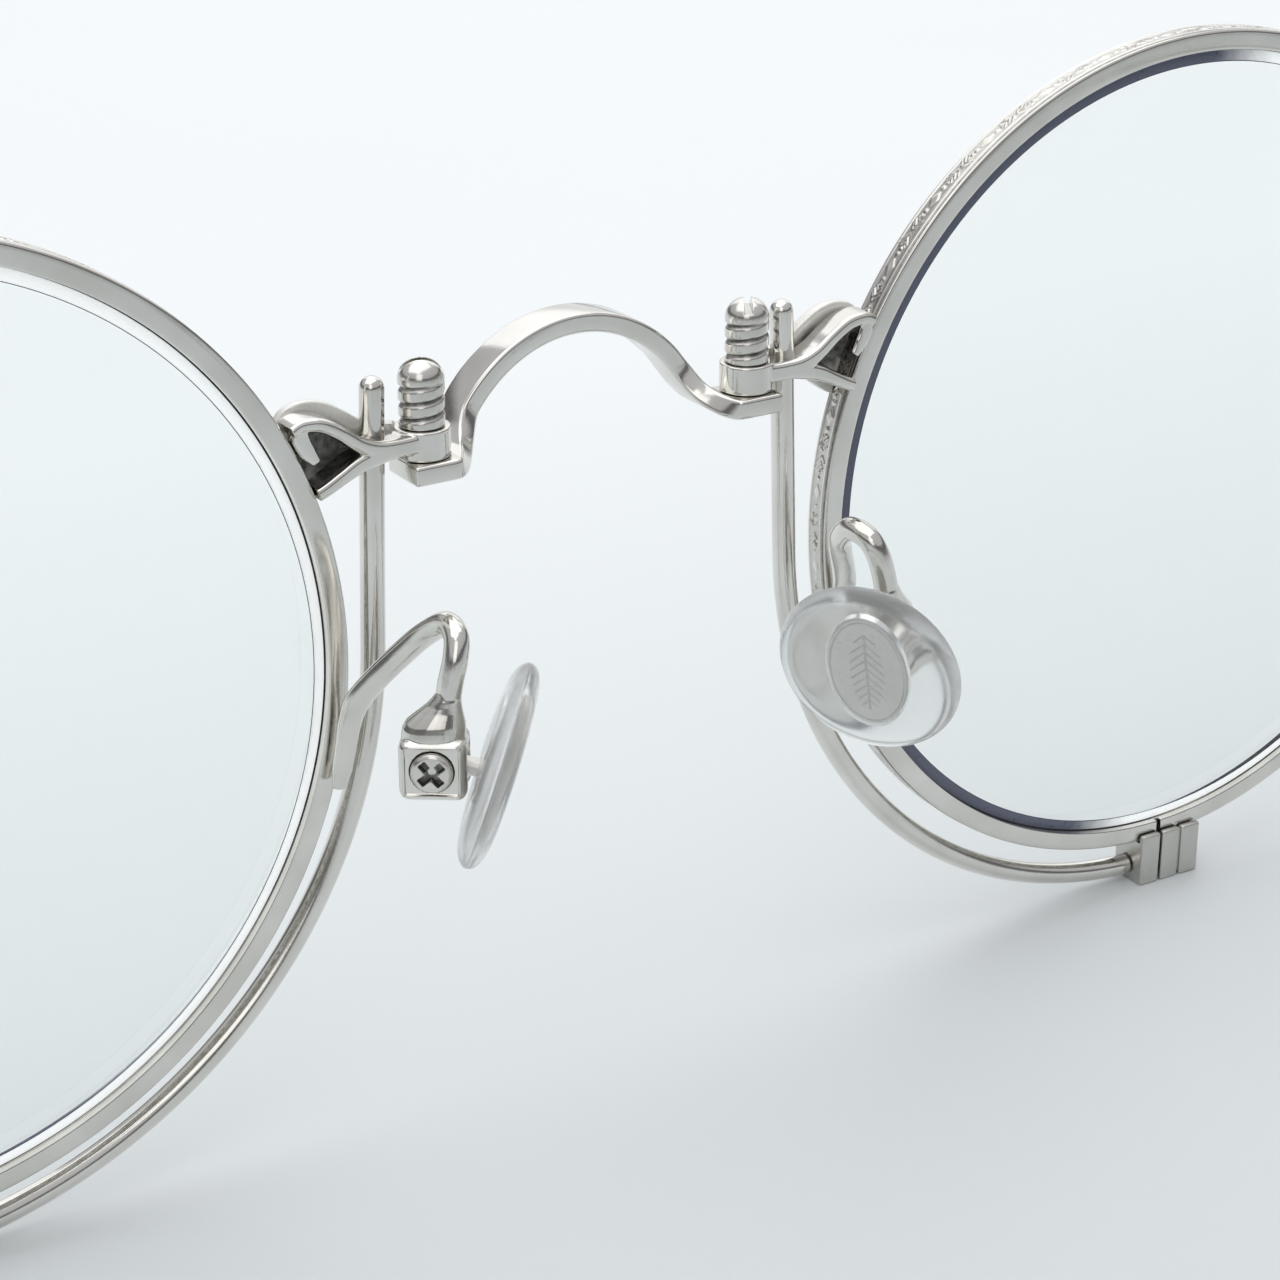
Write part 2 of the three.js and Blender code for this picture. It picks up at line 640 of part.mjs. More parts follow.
function templeTipGeometry(sign) {
  const { sleeveStart, sleeve, core, steps } = temple;
  const outside = rod(templePath(sign, sleeveStart, 0), sleeve, steps, 10);
  const bore = rod(templePath(sign, sleeveStart - 3, 4), core + 0.25, steps, 8);
  return cut(outside, bore);
}

// ---------------------------------------------------------------- assembly

function addRimGroup(side, sign, front) {
  const group = new THREE.Group();
  group.position.set(sign * halfLensDistance, 0, 0);
  group.rotation.z = sign * wrapAngle;
  named(`rim_${side}`, splitRim(sign), polishedTitanium, group);
  named(`lens_${side}`, lensGeometry(), tintedLens, group);
  addBlock(side, sign, group);
  named(`side_wire_${side}`, sideWireGeometry(sign), polishedTitanium, group);
  front.add(group);
}

function addSide(side, sign, front) {
  addRimGroup(side, sign, front);
  named(`bridge_fork_${side}`, forkGeometry(sign), polishedTitanium, front);
  named(`bridge_shield_${side}`, shieldGeometry(sign), brushedTitanium, front);
  named(`bridge_screw_${side}`, bridgeScrewGeometry(sign), screwSteel, front);
  named(`pad_arm_${side}`, padArmGeometry(sign), polishedTitanium, front);
  named(`pad_screw_${side}`, padScrewGeometry(sign), screwSteel, front);
  addNosePad(side, sign, front);
  named(`end_piece_${side}`, endPieceGeometry(sign), polishedTitanium, front);
  named(`hinge_front_${side}`, hingeFrontGeometry(sign), polishedTitanium, front);
  named(`hinge_screw_${side}`, hingeScrewGeometry(sign), screwSteel, front);
  named(`hinge_temple_${side}`, hingeTempleGeometry(sign), polishedTitanium, front);
  named(`temple_${side}`, templeGeometry(sign), polishedTitanium, front);
  named(`temple_tip_${side}`, templeTipGeometry(sign), smokeAcetate, front);
}

// The glasses' box stands on z = 0 with its middle over the origin.
function centreOver(group, front) {
  group.updateMatrixWorld(true);
  const bounds = new THREE.Box3().setFromObject(group, true);
  front.position.y = -(bounds.min.y + bounds.max.y) / 2;
}

const group = new THREE.Group();
const front = new THREE.Group();
front.position.z = lensCentreHeight;
group.add(front);
named('bridge', bridgeGeometry(), polishedTitanium, front);
addSide('left', 1, front);
addSide('right', -1, front);
centreOver(group, front);

export default group;
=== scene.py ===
import math

import bmesh
import bpy
from mathutils import Matrix, Vector


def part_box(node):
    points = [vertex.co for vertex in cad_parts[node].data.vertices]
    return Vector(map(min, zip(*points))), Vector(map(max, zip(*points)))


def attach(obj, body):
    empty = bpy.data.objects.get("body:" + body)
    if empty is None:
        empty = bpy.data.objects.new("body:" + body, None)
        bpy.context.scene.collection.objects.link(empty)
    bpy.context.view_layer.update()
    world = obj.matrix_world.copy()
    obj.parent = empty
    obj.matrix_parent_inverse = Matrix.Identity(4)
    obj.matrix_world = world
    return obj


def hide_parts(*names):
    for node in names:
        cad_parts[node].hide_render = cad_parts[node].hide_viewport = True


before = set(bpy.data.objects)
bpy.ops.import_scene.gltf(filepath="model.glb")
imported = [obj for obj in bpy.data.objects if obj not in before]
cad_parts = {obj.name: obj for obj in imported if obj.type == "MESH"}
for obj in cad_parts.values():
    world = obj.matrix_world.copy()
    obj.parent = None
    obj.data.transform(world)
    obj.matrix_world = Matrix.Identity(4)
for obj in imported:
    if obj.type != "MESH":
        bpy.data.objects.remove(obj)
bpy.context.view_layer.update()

# Round wire eyeglasses. Every piece is modelled in millimetres, from the middle of the bridge: x to the
# wearer's left, y to the rear and z up, with z = 0 at the height of the lens centres and y = 0 on the rims'
# rear faces. place() then moves it into the frame. Left pieces are modelled, and right ones mirror them.

MM = 0.001

# ---------------------------------------------------------------- sizes, in millimetres

WRAP = math.radians(1.4)
RIM_DEPTH = 1.53
RIM_OUTER = 22.8
RIM_GROOVE = 22.3
RIM_SPLIT = 0.517
BAND_FLOOR = 22.735
BAND_TOP = 0.5
BAND_BOTTOM = 1.36
RELIEF = 0.05

rim_low, rim_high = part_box("rim_left")
rim_middle = (rim_low + rim_high) / 2
ORIGIN = Vector((0, rim_middle.y + RIM_DEPTH / 2 * MM, rim_middle.z))
HALF_LENS = rim_middle.x / MM - RIM_DEPTH / 2 * math.sin(WRAP)

LENS_CLEAR = 21.1
LENS_FRONT_CLEAR = 21.72
BEVEL_COVERED = 21.73
LENS_REAR = -0.3
LENS_THICKNESS = 1.6
LENS_CURVE = 130

SCREW_X = 8.85
SCREW_Y = -1.2
EYE_RADIUS = 1.32
EYE_BOTTOM = 8.34
EYE_TOP = 9.75

WIRE_RADIUS = 0.585
WIRE_PATH = 24.55
WIRE_DEPTH = -1.0
WIRE_LEAVE = math.radians(1.9)
WIRE_TOP = 11.75

PAD_BOX = Vector((12.55, 6.0, -3.3))
PAD_TURN = math.radians(34.5)
PAD_LEAN = math.radians(18)
PAD_OFFSET = 2.68
PAD_RISE = 0.75
STEM_DROP = 0.4

END_HEIGHT = 8.5
HINGE_X = 64.65
HINGE_Y = 7.5
TEMPLE_X = 66.7
TIP_START = 84

SIDES = (("left", 1), ("right", -1))


# ---------------------------------------------------------------- mesh tools

def add_object(name, data):
    obj = bpy.data.objects.new(name, data)
    bpy.context.scene.collection.objects.link(obj)
    return obj


def solid(name, verts, faces):
    """A closed mesh object with its faces pointing out."""
    mesh = bpy.data.meshes.new(name)
    mesh.from_pydata(verts, [], faces)
    bm = bmesh.new()
    bm.from_mesh(mesh)
    bmesh.ops.recalc_face_normals(bm, faces=bm.faces)
    bm.to_mesh(mesh)
    bm.free()
    return add_object(name, mesh)


def loft(name, rings, closed=False):
    """Joins rings of points with quads. A ring of one point is a tip, and other end rings get flat caps."""
    starts = []
    verts = []
    for ring in rings:
        starts.append(len(verts))
        verts.extend(tuple(point) for point in ring)
    pairs = [(i, i + 1) for i in range(len(rings) - 1)]
    if closed:
        pairs.append((len(rings) - 1, 0))
    faces = []
    for i, j in pairs:
        a, b = len(rings[i]), len(rings[j])
        for k in range(max(a, b)):
            m = k + 1
            corners = [starts[i] + k % a, starts[i] + m % a, starts[j] + m % b, starts[j] + k % b]
            faces.append(list(dict.fromkeys(corners)))
    for end in (0, len(rings) - 1):
        if not closed and len(rings[end]) > 2:
            faces.append([starts[end] + k for k in range(len(rings[end]))])
    return solid(name, verts, faces)


def ellipse(x_radius, y_radius, z, steps):
    turns = [2 * math.pi * k / steps for k in range(steps)]
    return [Vector((x_radius * math.cos(t), y_radius * math.sin(t), z)) for t in turns]


def lathe(name, profile, steps=96, stretch=(1, 1)):
    """Turns (radius, height) points round Z. Both ends of the profile are on the axis."""
    on_axis = 1e-6
    rings = []
    for radius, height in profile:
        if radius < on_axis:
            rings.append([Vector((0, 0, height))])
        else:
            rings.append(ellipse(radius * stretch[0], radius * stretch[1], height, steps))
    return loft(name, rings)


def rounded_rectangle(half_width, half_height, corner):
    per_corner = 6
    points = []
    for quarter, (sx, sy) in enumerate(((1, 1), (-1, 1), (-1, -1), (1, -1))):
        for k in range(per_corner):
            turn = math.pi / 2 * (quarter + k / (per_corner - 1))
            x = sx * (half_width - corner) + corner * math.cos(turn)
            y = sy * (half_height - corner) + corner * math.sin(turn)
            points.append((x, y))
    return points


def superellipse(half_width, half_height, power, sides):
    points = []
    for k in range(sides):
        c, s = math.cos(2 * math.pi * k / sides), math.sin(2 * math.pi * k / sides)
        x = math.copysign(abs(c) ** (2 / power), c) * half_width
        y = math.copysign(abs(s) ** (2 / power), s) * half_height
        points.append((x, y))
    return points


def smooth_path(points, per_span=8):
    """A Catmull-Rom curve through the points."""
    points = [Vector(p) for p in points]
    padded = [2 * points[0] - points[1]] + points + [2 * points[-1] - points[-2]]
    path = []
    for i in range(1, len(padded) - 2):
        a, b, c, d = padded[i - 1:i + 3]
        for k in range(per_span):
            t = k / per_span
            path.append(0.5 * (2 * b + (c - a) * t + (2 * a - 5 * b + 4 * c - d) * t ** 2
                               + (3 * b - a - 3 * c + d) * t ** 3))
    path.append(points[-1])
    return path


def cross_frames(path, side):
    """The tangent and two cross directions at each point of a path, which turn as little as they can."""
    side = Vector(side)
    result = []
    for i in range(len(path)):
        tangent = (path[min(i + 1, len(path) - 1)] - path[max(i - 1, 0)]).normalized()
        side = (side - tangent * side.dot(tangent)).normalized()
        result.append((tangent, side, tangent.cross(side)))
    return result


def sweep(name, path, section, side=(1, 0, 0), tips=(False, False)):
    """Carries a section along a path. section(share) gives its points at that share of the path."""
    frames = cross_frames(path, side)
    rings = []
    for i, (centre, (_, across, up)) in enumerate(zip(path, frames)):
        points = section(i / (len(path) - 1))
        rings.append([centre + across * x + up * y for x, y in points])
    dome_steps = 6
    for wanted, end, outward in ((tips[0], 0, -1), (tips[1], -1, 1)):
        if not wanted:
            continue
        centre, ring, tangent = path[end], rings[end], frames[end][0] * outward
        reach = min((point - centre).length for point in ring)
        dome = []
        for k in range(1, dome_steps + 1):
            turn = math.pi / 2 * k / dome_steps
            middle = centre + tangent * reach * math.sin(turn)
            if k == dome_steps:
                dome.append([middle])
            else:
                dome.append([middle + (point - centre) * math.cos(turn) for point in ring])
        rings = dome[::-1] + rings if end == 0 else rings + dome
    return loft(name, rings)


def rod(name, path, radius, sides, tips=(True, True)):
    return sweep(name, path, lambda share: superellipse(radius, radius, 2, sides), tips=tips)


def plate(name, outline, rear, depth, edge, segments):
    """A front-view outline of (x, z) points, thickened forward from y = rear, with its edges rounded."""
    count = len(outline)
    verts = [(x, rear, z) for x, z in outline] + [(x, rear - depth, z) for x, z in outline]
    faces = [list(range(count)), list(range(2 * count - 1, count - 1, -1))]
    faces += [[k, (k + 1) % count, count + (k + 1) % count, count + k] for k in range(count)]
    return soften(solid(name, verts, faces), edge, segments)


def block(name, low, high, edge=0, segments=3):
    """A box between two corners, with its edges rounded."""
    (x0, y0, z0), (x1, y1, z1) = low, high
    return plate(name, [(x0, z0), (x1, z0), (x1, z1), (x0, z1)], y1, y1 - y0, edge, segments)


def soften(obj, width, segments=3, angle=50):
    """Rounds every edge sharper than the angle."""
    if width <= 0:
        return obj
    modifier = obj.modifiers.new("edges", "BEVEL")
    modifier.width = width
    modifier.segments = segments
    modifier.limit_method = "ANGLE"
    modifier.angle_limit = math.radians(angle)
    return apply_modifiers(obj)


def apply_modifiers(obj):
    bpy.context.view_layer.update()
    depsgraph = bpy.context.evaluated_depsgraph_get()
    mesh = bpy.data.meshes.new_from_object(obj.evaluated_get(depsgraph))
    old = obj.data
    obj.modifiers.clear()
    obj.data = mesh
    bpy.data.meshes.remove(old)
    return obj


def combine(obj, *others, operation="DIFFERENCE"):
    for other in others:
        modifier = obj.modifiers.new(operation, "BOOLEAN")
        modifier.operation = operation
        modifier.solver = "EXACT"
        modifier.object = other
        apply_modifiers(obj)
        bpy.data.objects.remove(other)
    return obj


def melt(name, parts, voxel, smoothing):
    """One closed skin round parts that overlap, with soft fillets, as brazed and polished metal has."""
    bm = bmesh.new()
    for part in parts:
        bm.from_mesh(part.data)
        bpy.data.objects.remove(part)
    mesh = bpy.data.meshes.new(name)
    bm.to_mesh(mesh)
    bm.free()
    obj = add_object(name, mesh)
    remesh = obj.modifiers.new("skin", "REMESH")
    remesh.mode = "VOXEL"
    remesh.voxel_size = voxel
    smooth = obj.modifiers.new("polish", "SMOOTH")
    smooth.factor = 0.5
    smooth.iterations = smoothing
    return apply_modifiers(obj)


def turn(obj, angle, axis, pivot=(0, 0, 0)):
    pivot = Vector(pivot)
    rotation = Matrix.Rotation(angle, 4, axis)
    obj.data.transform(Matrix.Translation(pivot) @ rotation @ Matrix.Translation(-pivot))
    return obj


def shift(obj, x=0, y=0, z=0):
    obj.data.transform(Matrix.Translation((x, y, z)))
    return obj


def stand_along_y(obj):
    """Turns a lathed piece so that its axis, Z, points to the rear."""
    return turn(obj, -math.pi / 2, "X")


def stand_along_x(obj):
    """Turns a lathed piece so that its axis, Z, points to the wearer's left."""
    return turn(obj, math.pi / 2, "Y")


def to_left_lens(obj):
    """From a lens's own middle to its place on the left side of the front."""
    turn(obj, WRAP, "Z")
    return shift(obj, HALF_LENS)


def to_left_pad_box(obj):
    turn(obj, -PAD_TURN, "Z")
    return shift(obj, *PAD_BOX)


def cylinder(name, radius, z0, z1, steps=64, edge=0):
    lower_half = [(0, z0), (radius - edge, z0), (radius, z0 + edge)]
    upper_half = [(radius, z1 - edge), (radius - edge, z1), (0, z1)]
    return lathe(name, lower_half + upper_half, steps)


def smoothstep(low, high, value):
    t = min(max((value - low) / (high - low), 0), 1)
    return t * t * (3 - 2 * t)


def mark(obj, layer, values):
    """Gives each vertex a value that a material can read."""
    obj.data.attributes.new(layer, "FLOAT", "POINT").data.foreach_set("value", values)
    return obj


def tarnish_and_shade(obj, amount):
    """Notes how dark and dull the metal is at each vertex, from 0 to 1: darker in the engraving's ground, the
    thread grooves and cut lines, and painted shade in the bracket's hollow. amount(x, y, z) gives it.
    """
    return mark(obj, "patina", [amount(*vertex.co) for vertex in obj.data.vertices])


# ---------------------------------------------------------------- material tools

class Nodes:
    """A short way to build a node material on a Principled shader."""

    def __init__(self, name):
        self.material = bpy.data.materials.new(name)
        self.material.use_nodes = True
        self.tree = self.material.node_tree
        self.shader = self.tree.nodes["Principled BSDF"]
        self.place = self.new("TexCoord").outputs["Object"]

    def new(self, kind):
        return self.tree.nodes.new("ShaderNode" + kind)

    def link(self, source, target):
        self.tree.links.new(source, target)

    def set(self, **values):
        for key, value in values.items():
            self.shader.inputs[key.replace("_", " ")].default_value = value

    def feed(self, **sources):
        for key, source in sources.items():
            self.link(source, self.shader.inputs[key.replace("_", " ")])

    def noise(self, scale, detail=4, roughness=0.5, stretch=(1, 1, 1)):
        mapping = self.new("Mapping")
        mapping.inputs["Scale"].default_value = stretch
        self.link(self.place, mapping.inputs["Vector"])
        texture = self.new("TexNoise")
        texture.inputs["Scale"].default_value = scale
        texture.inputs["Detail"].default_value = detail
        texture.inputs["Roughness"].default_value = roughness
        self.link(mapping.outputs["Vector"], texture.inputs["Vector"])
        return texture.outputs["Fac"]

    def ramp(self, source, low, high, low_colour, high_colour):
        node = self.new("ValToRGB")
        node.color_ramp.elements[0].position = low
        node.color_ramp.elements[1].position = high
        node.color_ramp.elements[0].color = low_colour
        node.color_ramp.elements[1].color = high_colour
        self.link(source, node.inputs["Fac"])
        return node.outputs["Color"]

    def span(self, source, low, high, in_low=0.3, in_high=0.7):
        node = self.new("MapRange")
        node.inputs["From Min"].default_value = in_low
        node.inputs["From Max"].default_value = in_high
        node.inputs["To Min"].default_value = low
        node.inputs["To Max"].default_value = high
        self.link(source, node.inputs["Value"])
        return node.outputs["Result"]

    def mix(self, factor, a, b):
        node = self.new("Mix")
        node.data_type = "RGBA"
        self.link(factor, node.inputs["Factor"])
        for socket, value in ((node.inputs[6], a), (node.inputs[7], b)):
            if isinstance(value, tuple):
                socket.default_value = value
            else:
                self.link(value, socket)
        return node.outputs[2]

    def attribute(self, name):
        node = self.new("Attribute")
        node.attribute_name = name
        return node.outputs["Fac"]

    def add(self, a, b, operation="ADD"):
        node = self.new("Math")
        node.operation = operation
        for socket, value in zip(node.inputs, (a, b)):
            if isinstance(value, (int, float)):
                socket.default_value = value
            else:
                self.link(value, socket)
        return node.outputs[0]

    def bump(self, height, distance, strength):
        node = self.new("Bump")
        node.inputs["Strength"].default_value = strength
        node.inputs["Distance"].default_value = distance
        self.link(height, node.inputs["Height"])
        self.feed(Normal=node.outputs["Normal"])


def grey(value, warmth):
    """A grey as linear colour; warmth above 0 leans it to yellow, below 0 to blue."""
    return (value * (1 + 0.4 * warmth), value, value * (1 - warmth), 1)


def dulled_and_shaded(nodes, colour, gloss, tone):
    """Darkens and dulls a metal, unevenly, where its darkening attribute is high: in the engraving's ground,
    the thread grooves and cut lines, and as painted shade in the bracket's hollow.
    """
    shade = nodes.add(nodes.attribute("patina"), nodes.span(nodes.noise(3200, 3), 0.6, 1.0), "MULTIPLY")
    nodes.feed(Base_Color=nodes.mix(shade, colour, grey(tone * 0.13, 0.05)),
               Roughness=nodes.add(gloss, nodes.add(shade, 0.3, "MULTIPLY")))


def polished_metal(name, tone, low_gloss, high_gloss, scratch=0.25):
    """Polished metal: soft colour drift, fine wiping marks and tiny pits."""
    nodes = Nodes(name)
    nodes.set(Metallic=1.0)
    drift = nodes.noise(260, 5)
    colour = nodes.ramp(drift, 0.35, 0.7, grey(tone * 0.9, 0.065), grey(tone * 1.05, 0.05))
    marks = nodes.noise(900, 6, 0.7, (1, 1, 5))
    pits = nodes.noise(5200, 2, 0.6)
    dulled_and_shaded(nodes, colour, nodes.span(marks, low_gloss, high_gloss), tone)
    nodes.bump(nodes.add(marks, pits), 0.000006, scratch)
    return nodes.material


def brushed_metal(name, tone, stretch, metallic=1.0):
    """Satin metal with a fine one-way grain."""
    nodes = Nodes(name)
    nodes.set(Metallic=metallic)
    grain = nodes.noise(2600, 4, 0.7, stretch)
    cloud = nodes.noise(420, 4)
    drift = nodes.add(grain, cloud, "MULTIPLY")
    colour = nodes.ramp(drift, 0.1, 0.45, grey(tone * 0.9, 0.055), grey(tone * 1.04, 0.045))
    dulled_and_shaded(nodes, colour, nodes.span(grain, 0.26, 0.4), tone)
    nodes.bump(grain, 0.00001, 0.3)
    return nodes.material


def lens_glass():
    """A clear coated lens with a faint grey-green tint and the odd wiping mark."""
    nodes = Nodes("coated_lens")
    nodes.set(IOR=1.5, Transmission_Weight=1.0)
    smear = nodes.noise(120, 5, 0.6, (1, 1, 2.5))
    tint = nodes.ramp(smear, 0.3, 0.7, (0.945, 0.97, 0.963, 1), (0.955, 0.978, 0.97, 1))
    nodes.feed(Base_Color=tint, Roughness=nodes.span(smear, 0.0, 0.012))
    return nodes.material


def lens_edge_painted_light():
    """The ground bevel of the lens, with painted light and shade: white with a painted glow where it is lit,
    and painted blue-grey shade with near-black border lines elsewhere.
    """
    nodes = Nodes("lens_edge_painted_light")
    # Painted light: the emission makes the bevel's lit side glow, though it is no lamp.
    nodes.set(IOR=1.5, Emission_Strength=0.4)
    grain = nodes.noise(2400, 4)
    tone = nodes.add(nodes.attribute("painted_edge_light"), nodes.span(grain, 0.94, 1.0), "MULTIPLY")
    # Painted shade: near-black border lines and a blue-grey shaded side.
    painted_shade_colour = nodes.ramp(tone, 0.0, 0.4, (0.03, 0.032, 0.04, 1), (0.13, 0.142, 0.2, 1))
    painted_light_share = nodes.span(tone, 0.0, 1.0, 0.42, 0.9)
    nodes.feed(Base_Color=nodes.mix(painted_light_share, painted_shade_colour, (0.97, 0.985, 0.98, 1)),
               Roughness=nodes.span(grain, 0.25, 0.4),
               Emission_Color=nodes.mix(painted_light_share, (0, 0, 0, 1), (0.9, 0.93, 0.93, 1)))
    return nodes.material


def silicone():
    """Clear moulded silicone with a slightly uneven skin."""
    nodes = Nodes("clear_silicone")
    nodes.set(IOR=1.41, Transmission_Weight=0.86)
    cloud = nodes.noise(500, 4)
    tint = nodes.ramp(cloud, 0.3, 0.75, (0.97, 0.975, 0.965, 1), (0.99, 0.995, 0.988, 1))
    nodes.feed(Base_Color=tint, Roughness=nodes.span(cloud, 0.1, 0.2))
    nodes.bump(nodes.noise(1500, 3), 0.00002, 0.25)
    return nodes.material


def smoke_acetate():
    """Translucent grey acetate with soft smoky veins."""
    nodes = Nodes("smoke_acetate")
    nodes.set(IOR=1.49, Transmission_Weight=0.55, Coat_Weight=0.4)
    veins = nodes.noise(180, 6, 0.62, (1, 0.35, 1))
    smoke = nodes.ramp(veins, 0.36, 0.66, (0.16, 0.17, 0.17, 1), (0.42, 0.44, 0.44, 1))
    nodes.feed(Base_Color=smoke, Roughness=nodes.span(nodes.noise(900, 4), 0.08, 0.18))
    nodes.bump(nodes.noise(1400, 3), 0.00001, 0.2)
    return nodes.material


# Painted shade: the table darkens between these two places, in metres along y, for light that falls off
# towards the camera.
PAINTED_FALLOFF_FAR = -0.17
PAINTED_FALLOFF_NEAR = 0.02


def table_surface():
    """The pale table: a barely uneven satin finish, nearly white, with painted shade that greys it a little
    to the rear, where light falls off towards the camera.
    """
    nodes = Nodes("pale_table")
    cloud = nodes.noise(9, 4)
    split = nodes.new("SeparateXYZ")
    nodes.link(nodes.place, split.inputs["Vector"])
    painted_falloff = nodes.span(split.outputs["Y"], 0.0, 1.0, PAINTED_FALLOFF_FAR, PAINTED_FALLOFF_NEAR)
    far_colour = nodes.ramp(cloud, 0.3, 0.7, (0.88, 0.91, 0.918, 1), (0.89, 0.92, 0.928, 1))
    # Painted shade towards the camera, mixed over the table's own colour.
    nodes.feed(Base_Color=nodes.mix(painted_falloff, far_colour, (0.64, 0.68, 0.69, 1)),
               Roughness=nodes.span(cloud, 0.5, 0.6))
    nodes.bump(nodes.noise(700, 3), 0.00002, 0.15)
    return nodes.material


MIRROR_METAL = polished_metal("polished_titanium", 0.73, 0.08, 0.17)
RIM_METAL = polished_metal("engraved_titanium", 0.73, 0.09, 0.18)
SCREW_METAL = polished_metal("turned_steel", 0.68, 0.12, 0.24, scratch=0.4)
PLATE_METAL = brushed_metal("satin_plate", 0.88, (1, 1, 6), 0.7)
SHIELD_METAL = brushed_metal("satin_shield", 0.88, (5, 1, 1), 0.35)
BLOCK_METAL = brushed_metal("satin_block", 0.6, (6, 1, 1))
LENS_GLASS = lens_glass()
LENS_EDGE_PAINTED_LIGHT = lens_edge_painted_light()
SILICONE = silicone()
ACETATE = smoke_acetate()


# ---------------------------------------------------------------- placing

def place(obj, name, body, materials):
    """Moves a finished piece into the frame and stands it in for the CAD node of the same name."""
    obj.name = f"{name}_look"
    obj.data.name = obj.name
    obj.data.transform(Matrix.Translation(ORIGIN) @ Matrix.Scale(MM, 4))
    obj.data.shade_smooth()
    obj.data.set_sharp_from_angle(angle=math.radians(38))
    for material in materials:
        obj.data.materials.append(material)
    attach(obj, body)
    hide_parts(name)
    return obj


def mirrored(obj):
    copy = add_object(obj.name, obj.data.copy())
    copy.data.transform(Matrix.Scale(-1, 4, (1, 0, 0)))
    copy.data.flip_normals()
    return copy


def place_pair(left, stem, body, slot, *materials):
    """Places a left piece and its mirror image. A body name ending in _ belongs to each side."""
    right = mirrored(left)
    for obj, (side, _) in zip((left, right), SIDES):
        place(obj, f"{stem}_{side}", body + side if body.endswith("_") else body, materials)
    return left, right


# ---------------------------------------------------------------- rims and lenses

def engraving(along, across):
    """How far the pattern stands at a place on the band, from 0 to 1: lozenges, dots and hatched leaves."""
    cell_length = 2 * math.pi * RIM_OUTER / 36
    reach = abs(along % cell_length - cell_length / 2)
    side = abs(across)
    soft = 0.05
    lozenge_length, lozenge_width = 0.46, 0.27
    lozenge = 1 - smoothstep(-soft, soft, (reach / lozenge_length + side / lozenge_width - 1) * 0.25)
    dot_place, dot_radius = 0.72, 0.1
    dot = 1 - smoothstep(dot_radius, dot_radius + soft, math.hypot(reach - dot_place, across))
    leaf_place, leaf_length, leaf_width = 1.42, 0.5, 0.33
    outside = ((reach - leaf_place) / leaf_length) ** 2 + (across / leaf_width) ** 2 - 1
    leaf = 1 - smoothstep(-soft, soft, outside * 0.2)
    hatch_pitch = 0.27
    hatch = smoothstep(-0.2, 0.3, math.cos(2 * math.pi * (reach + side * 1.2) / hatch_pitch))
    edge_line = smoothstep(0.36, 0.39, side)
    return max(lozenge, dot, leaf * hatch, edge_line)


def rim_profile():
    """The rim's closed section from the rear inner edge, as (radius, y, place across the band or None)."""
    rear_face = [(21.8, -0.012), (21.88, -0.002), (22.05, 0.0), (22.25, 0.0), (22.45, -0.002), (22.6, -0.012)]
    rear_corner = [(22.69, -0.035), (22.75, -0.075), (22.77, -0.13)]
    line = [(22.74, -0.19), (22.715, -0.25), (22.74, -0.31), (22.785, -0.36), (22.8, -0.42), (22.785, -0.47)]
    rows = 15
    band = []
    for k in range(rows):
        y = BAND_TOP + (BAND_BOTTOM - BAND_TOP) * k / (rows - 1)
        band.append((BAND_FLOOR, -y, y - (BAND_TOP + BAND_BOTTOM) / 2))
    front_corner = [(22.77, -1.4), (22.785, -1.45), (22.75, -1.5), (22.67, -1.525)]
    front_face = [(22.5, -1.53), (22.2, -1.53), (21.92, -1.525), (21.8, -1.5), (21.755, -1.44)]
    groove = [(21.75, -1.15), (RIM_GROOVE, -0.765), (21.75, -0.4), (21.75, -0.08), (21.765, -0.035)]
    plain = [(r, y, None) for r, y in rear_face + rear_corner + line]
    return plain + band + [(r, y, None) for r, y in front_corner + front_face + groove]


def in_turned_line(radius, y):
    """Whether a point of the section lies in the fine line turned round the rim beside its rear face."""
    return radius < 22.76 and -0.34 < y < -0.16


def rim():
    profile = rim_profile()
    stations = 1800
    half_gap = 0.15 / RIM_GROOVE
    start = math.asin(RIM_SPLIT / RIM_GROOVE) + half_gap
    rings = []
    wear = []
    for i in range(stations + 1):
        angle = start + (2 * math.pi - 2 * half_gap) * i / stations
        ring = []
        for radius, y, across in profile:
            if across is None:
                wear.append(0.7 if in_turned_line(radius, y) else 0.0)
            else:
                height = engraving(angle * RIM_OUTER, across)
                radius += RELIEF * height
                wear.append(0.28 * (1 - height))
            ring.append(Vector((radius * math.sin(angle), y, -radius * math.cos(angle))))
        rings.append(ring)
    return to_left_lens(mark(loft("rim", rings), "patina", wear))


def lens():
    """A meniscus lens. Its bevel faces get the second material."""
    def sag(radius):
        return LENS_CURVE - math.sqrt(LENS_CURVE ** 2 - radius ** 2) - 1.74

    def face(edge, height):
        """The face's profile from the axis out to its edge."""
        rings = 22
        return [(edge * k / rings, height + sag(edge * k / rings)) for k in range(rings + 1)]

    rear_profile = face(LENS_CLEAR, LENS_REAR)
    front_profile = face(LENS_FRONT_CLEAR, LENS_REAR - LENS_THICKNESS)[::-1]
    bevel = [(21.16, -0.31), (21.67, -0.44), (21.74, -0.47), (21.98, -0.765), (21.76, -1.2)]
    obj = stand_along_y(lathe("lens", rear_profile + bevel + front_profile, 192))
    obj.data.materials.append(None)
    obj.data.materials.append(None)
    for polygon in obj.data.polygons:
        middle = polygon.center
        faces_forward = polygon.normal.y < -0.9
        if math.hypot(middle.x, middle.z) > LENS_CLEAR and not faces_forward:
            polygon.material_index = 1
    return to_left_lens(obj)


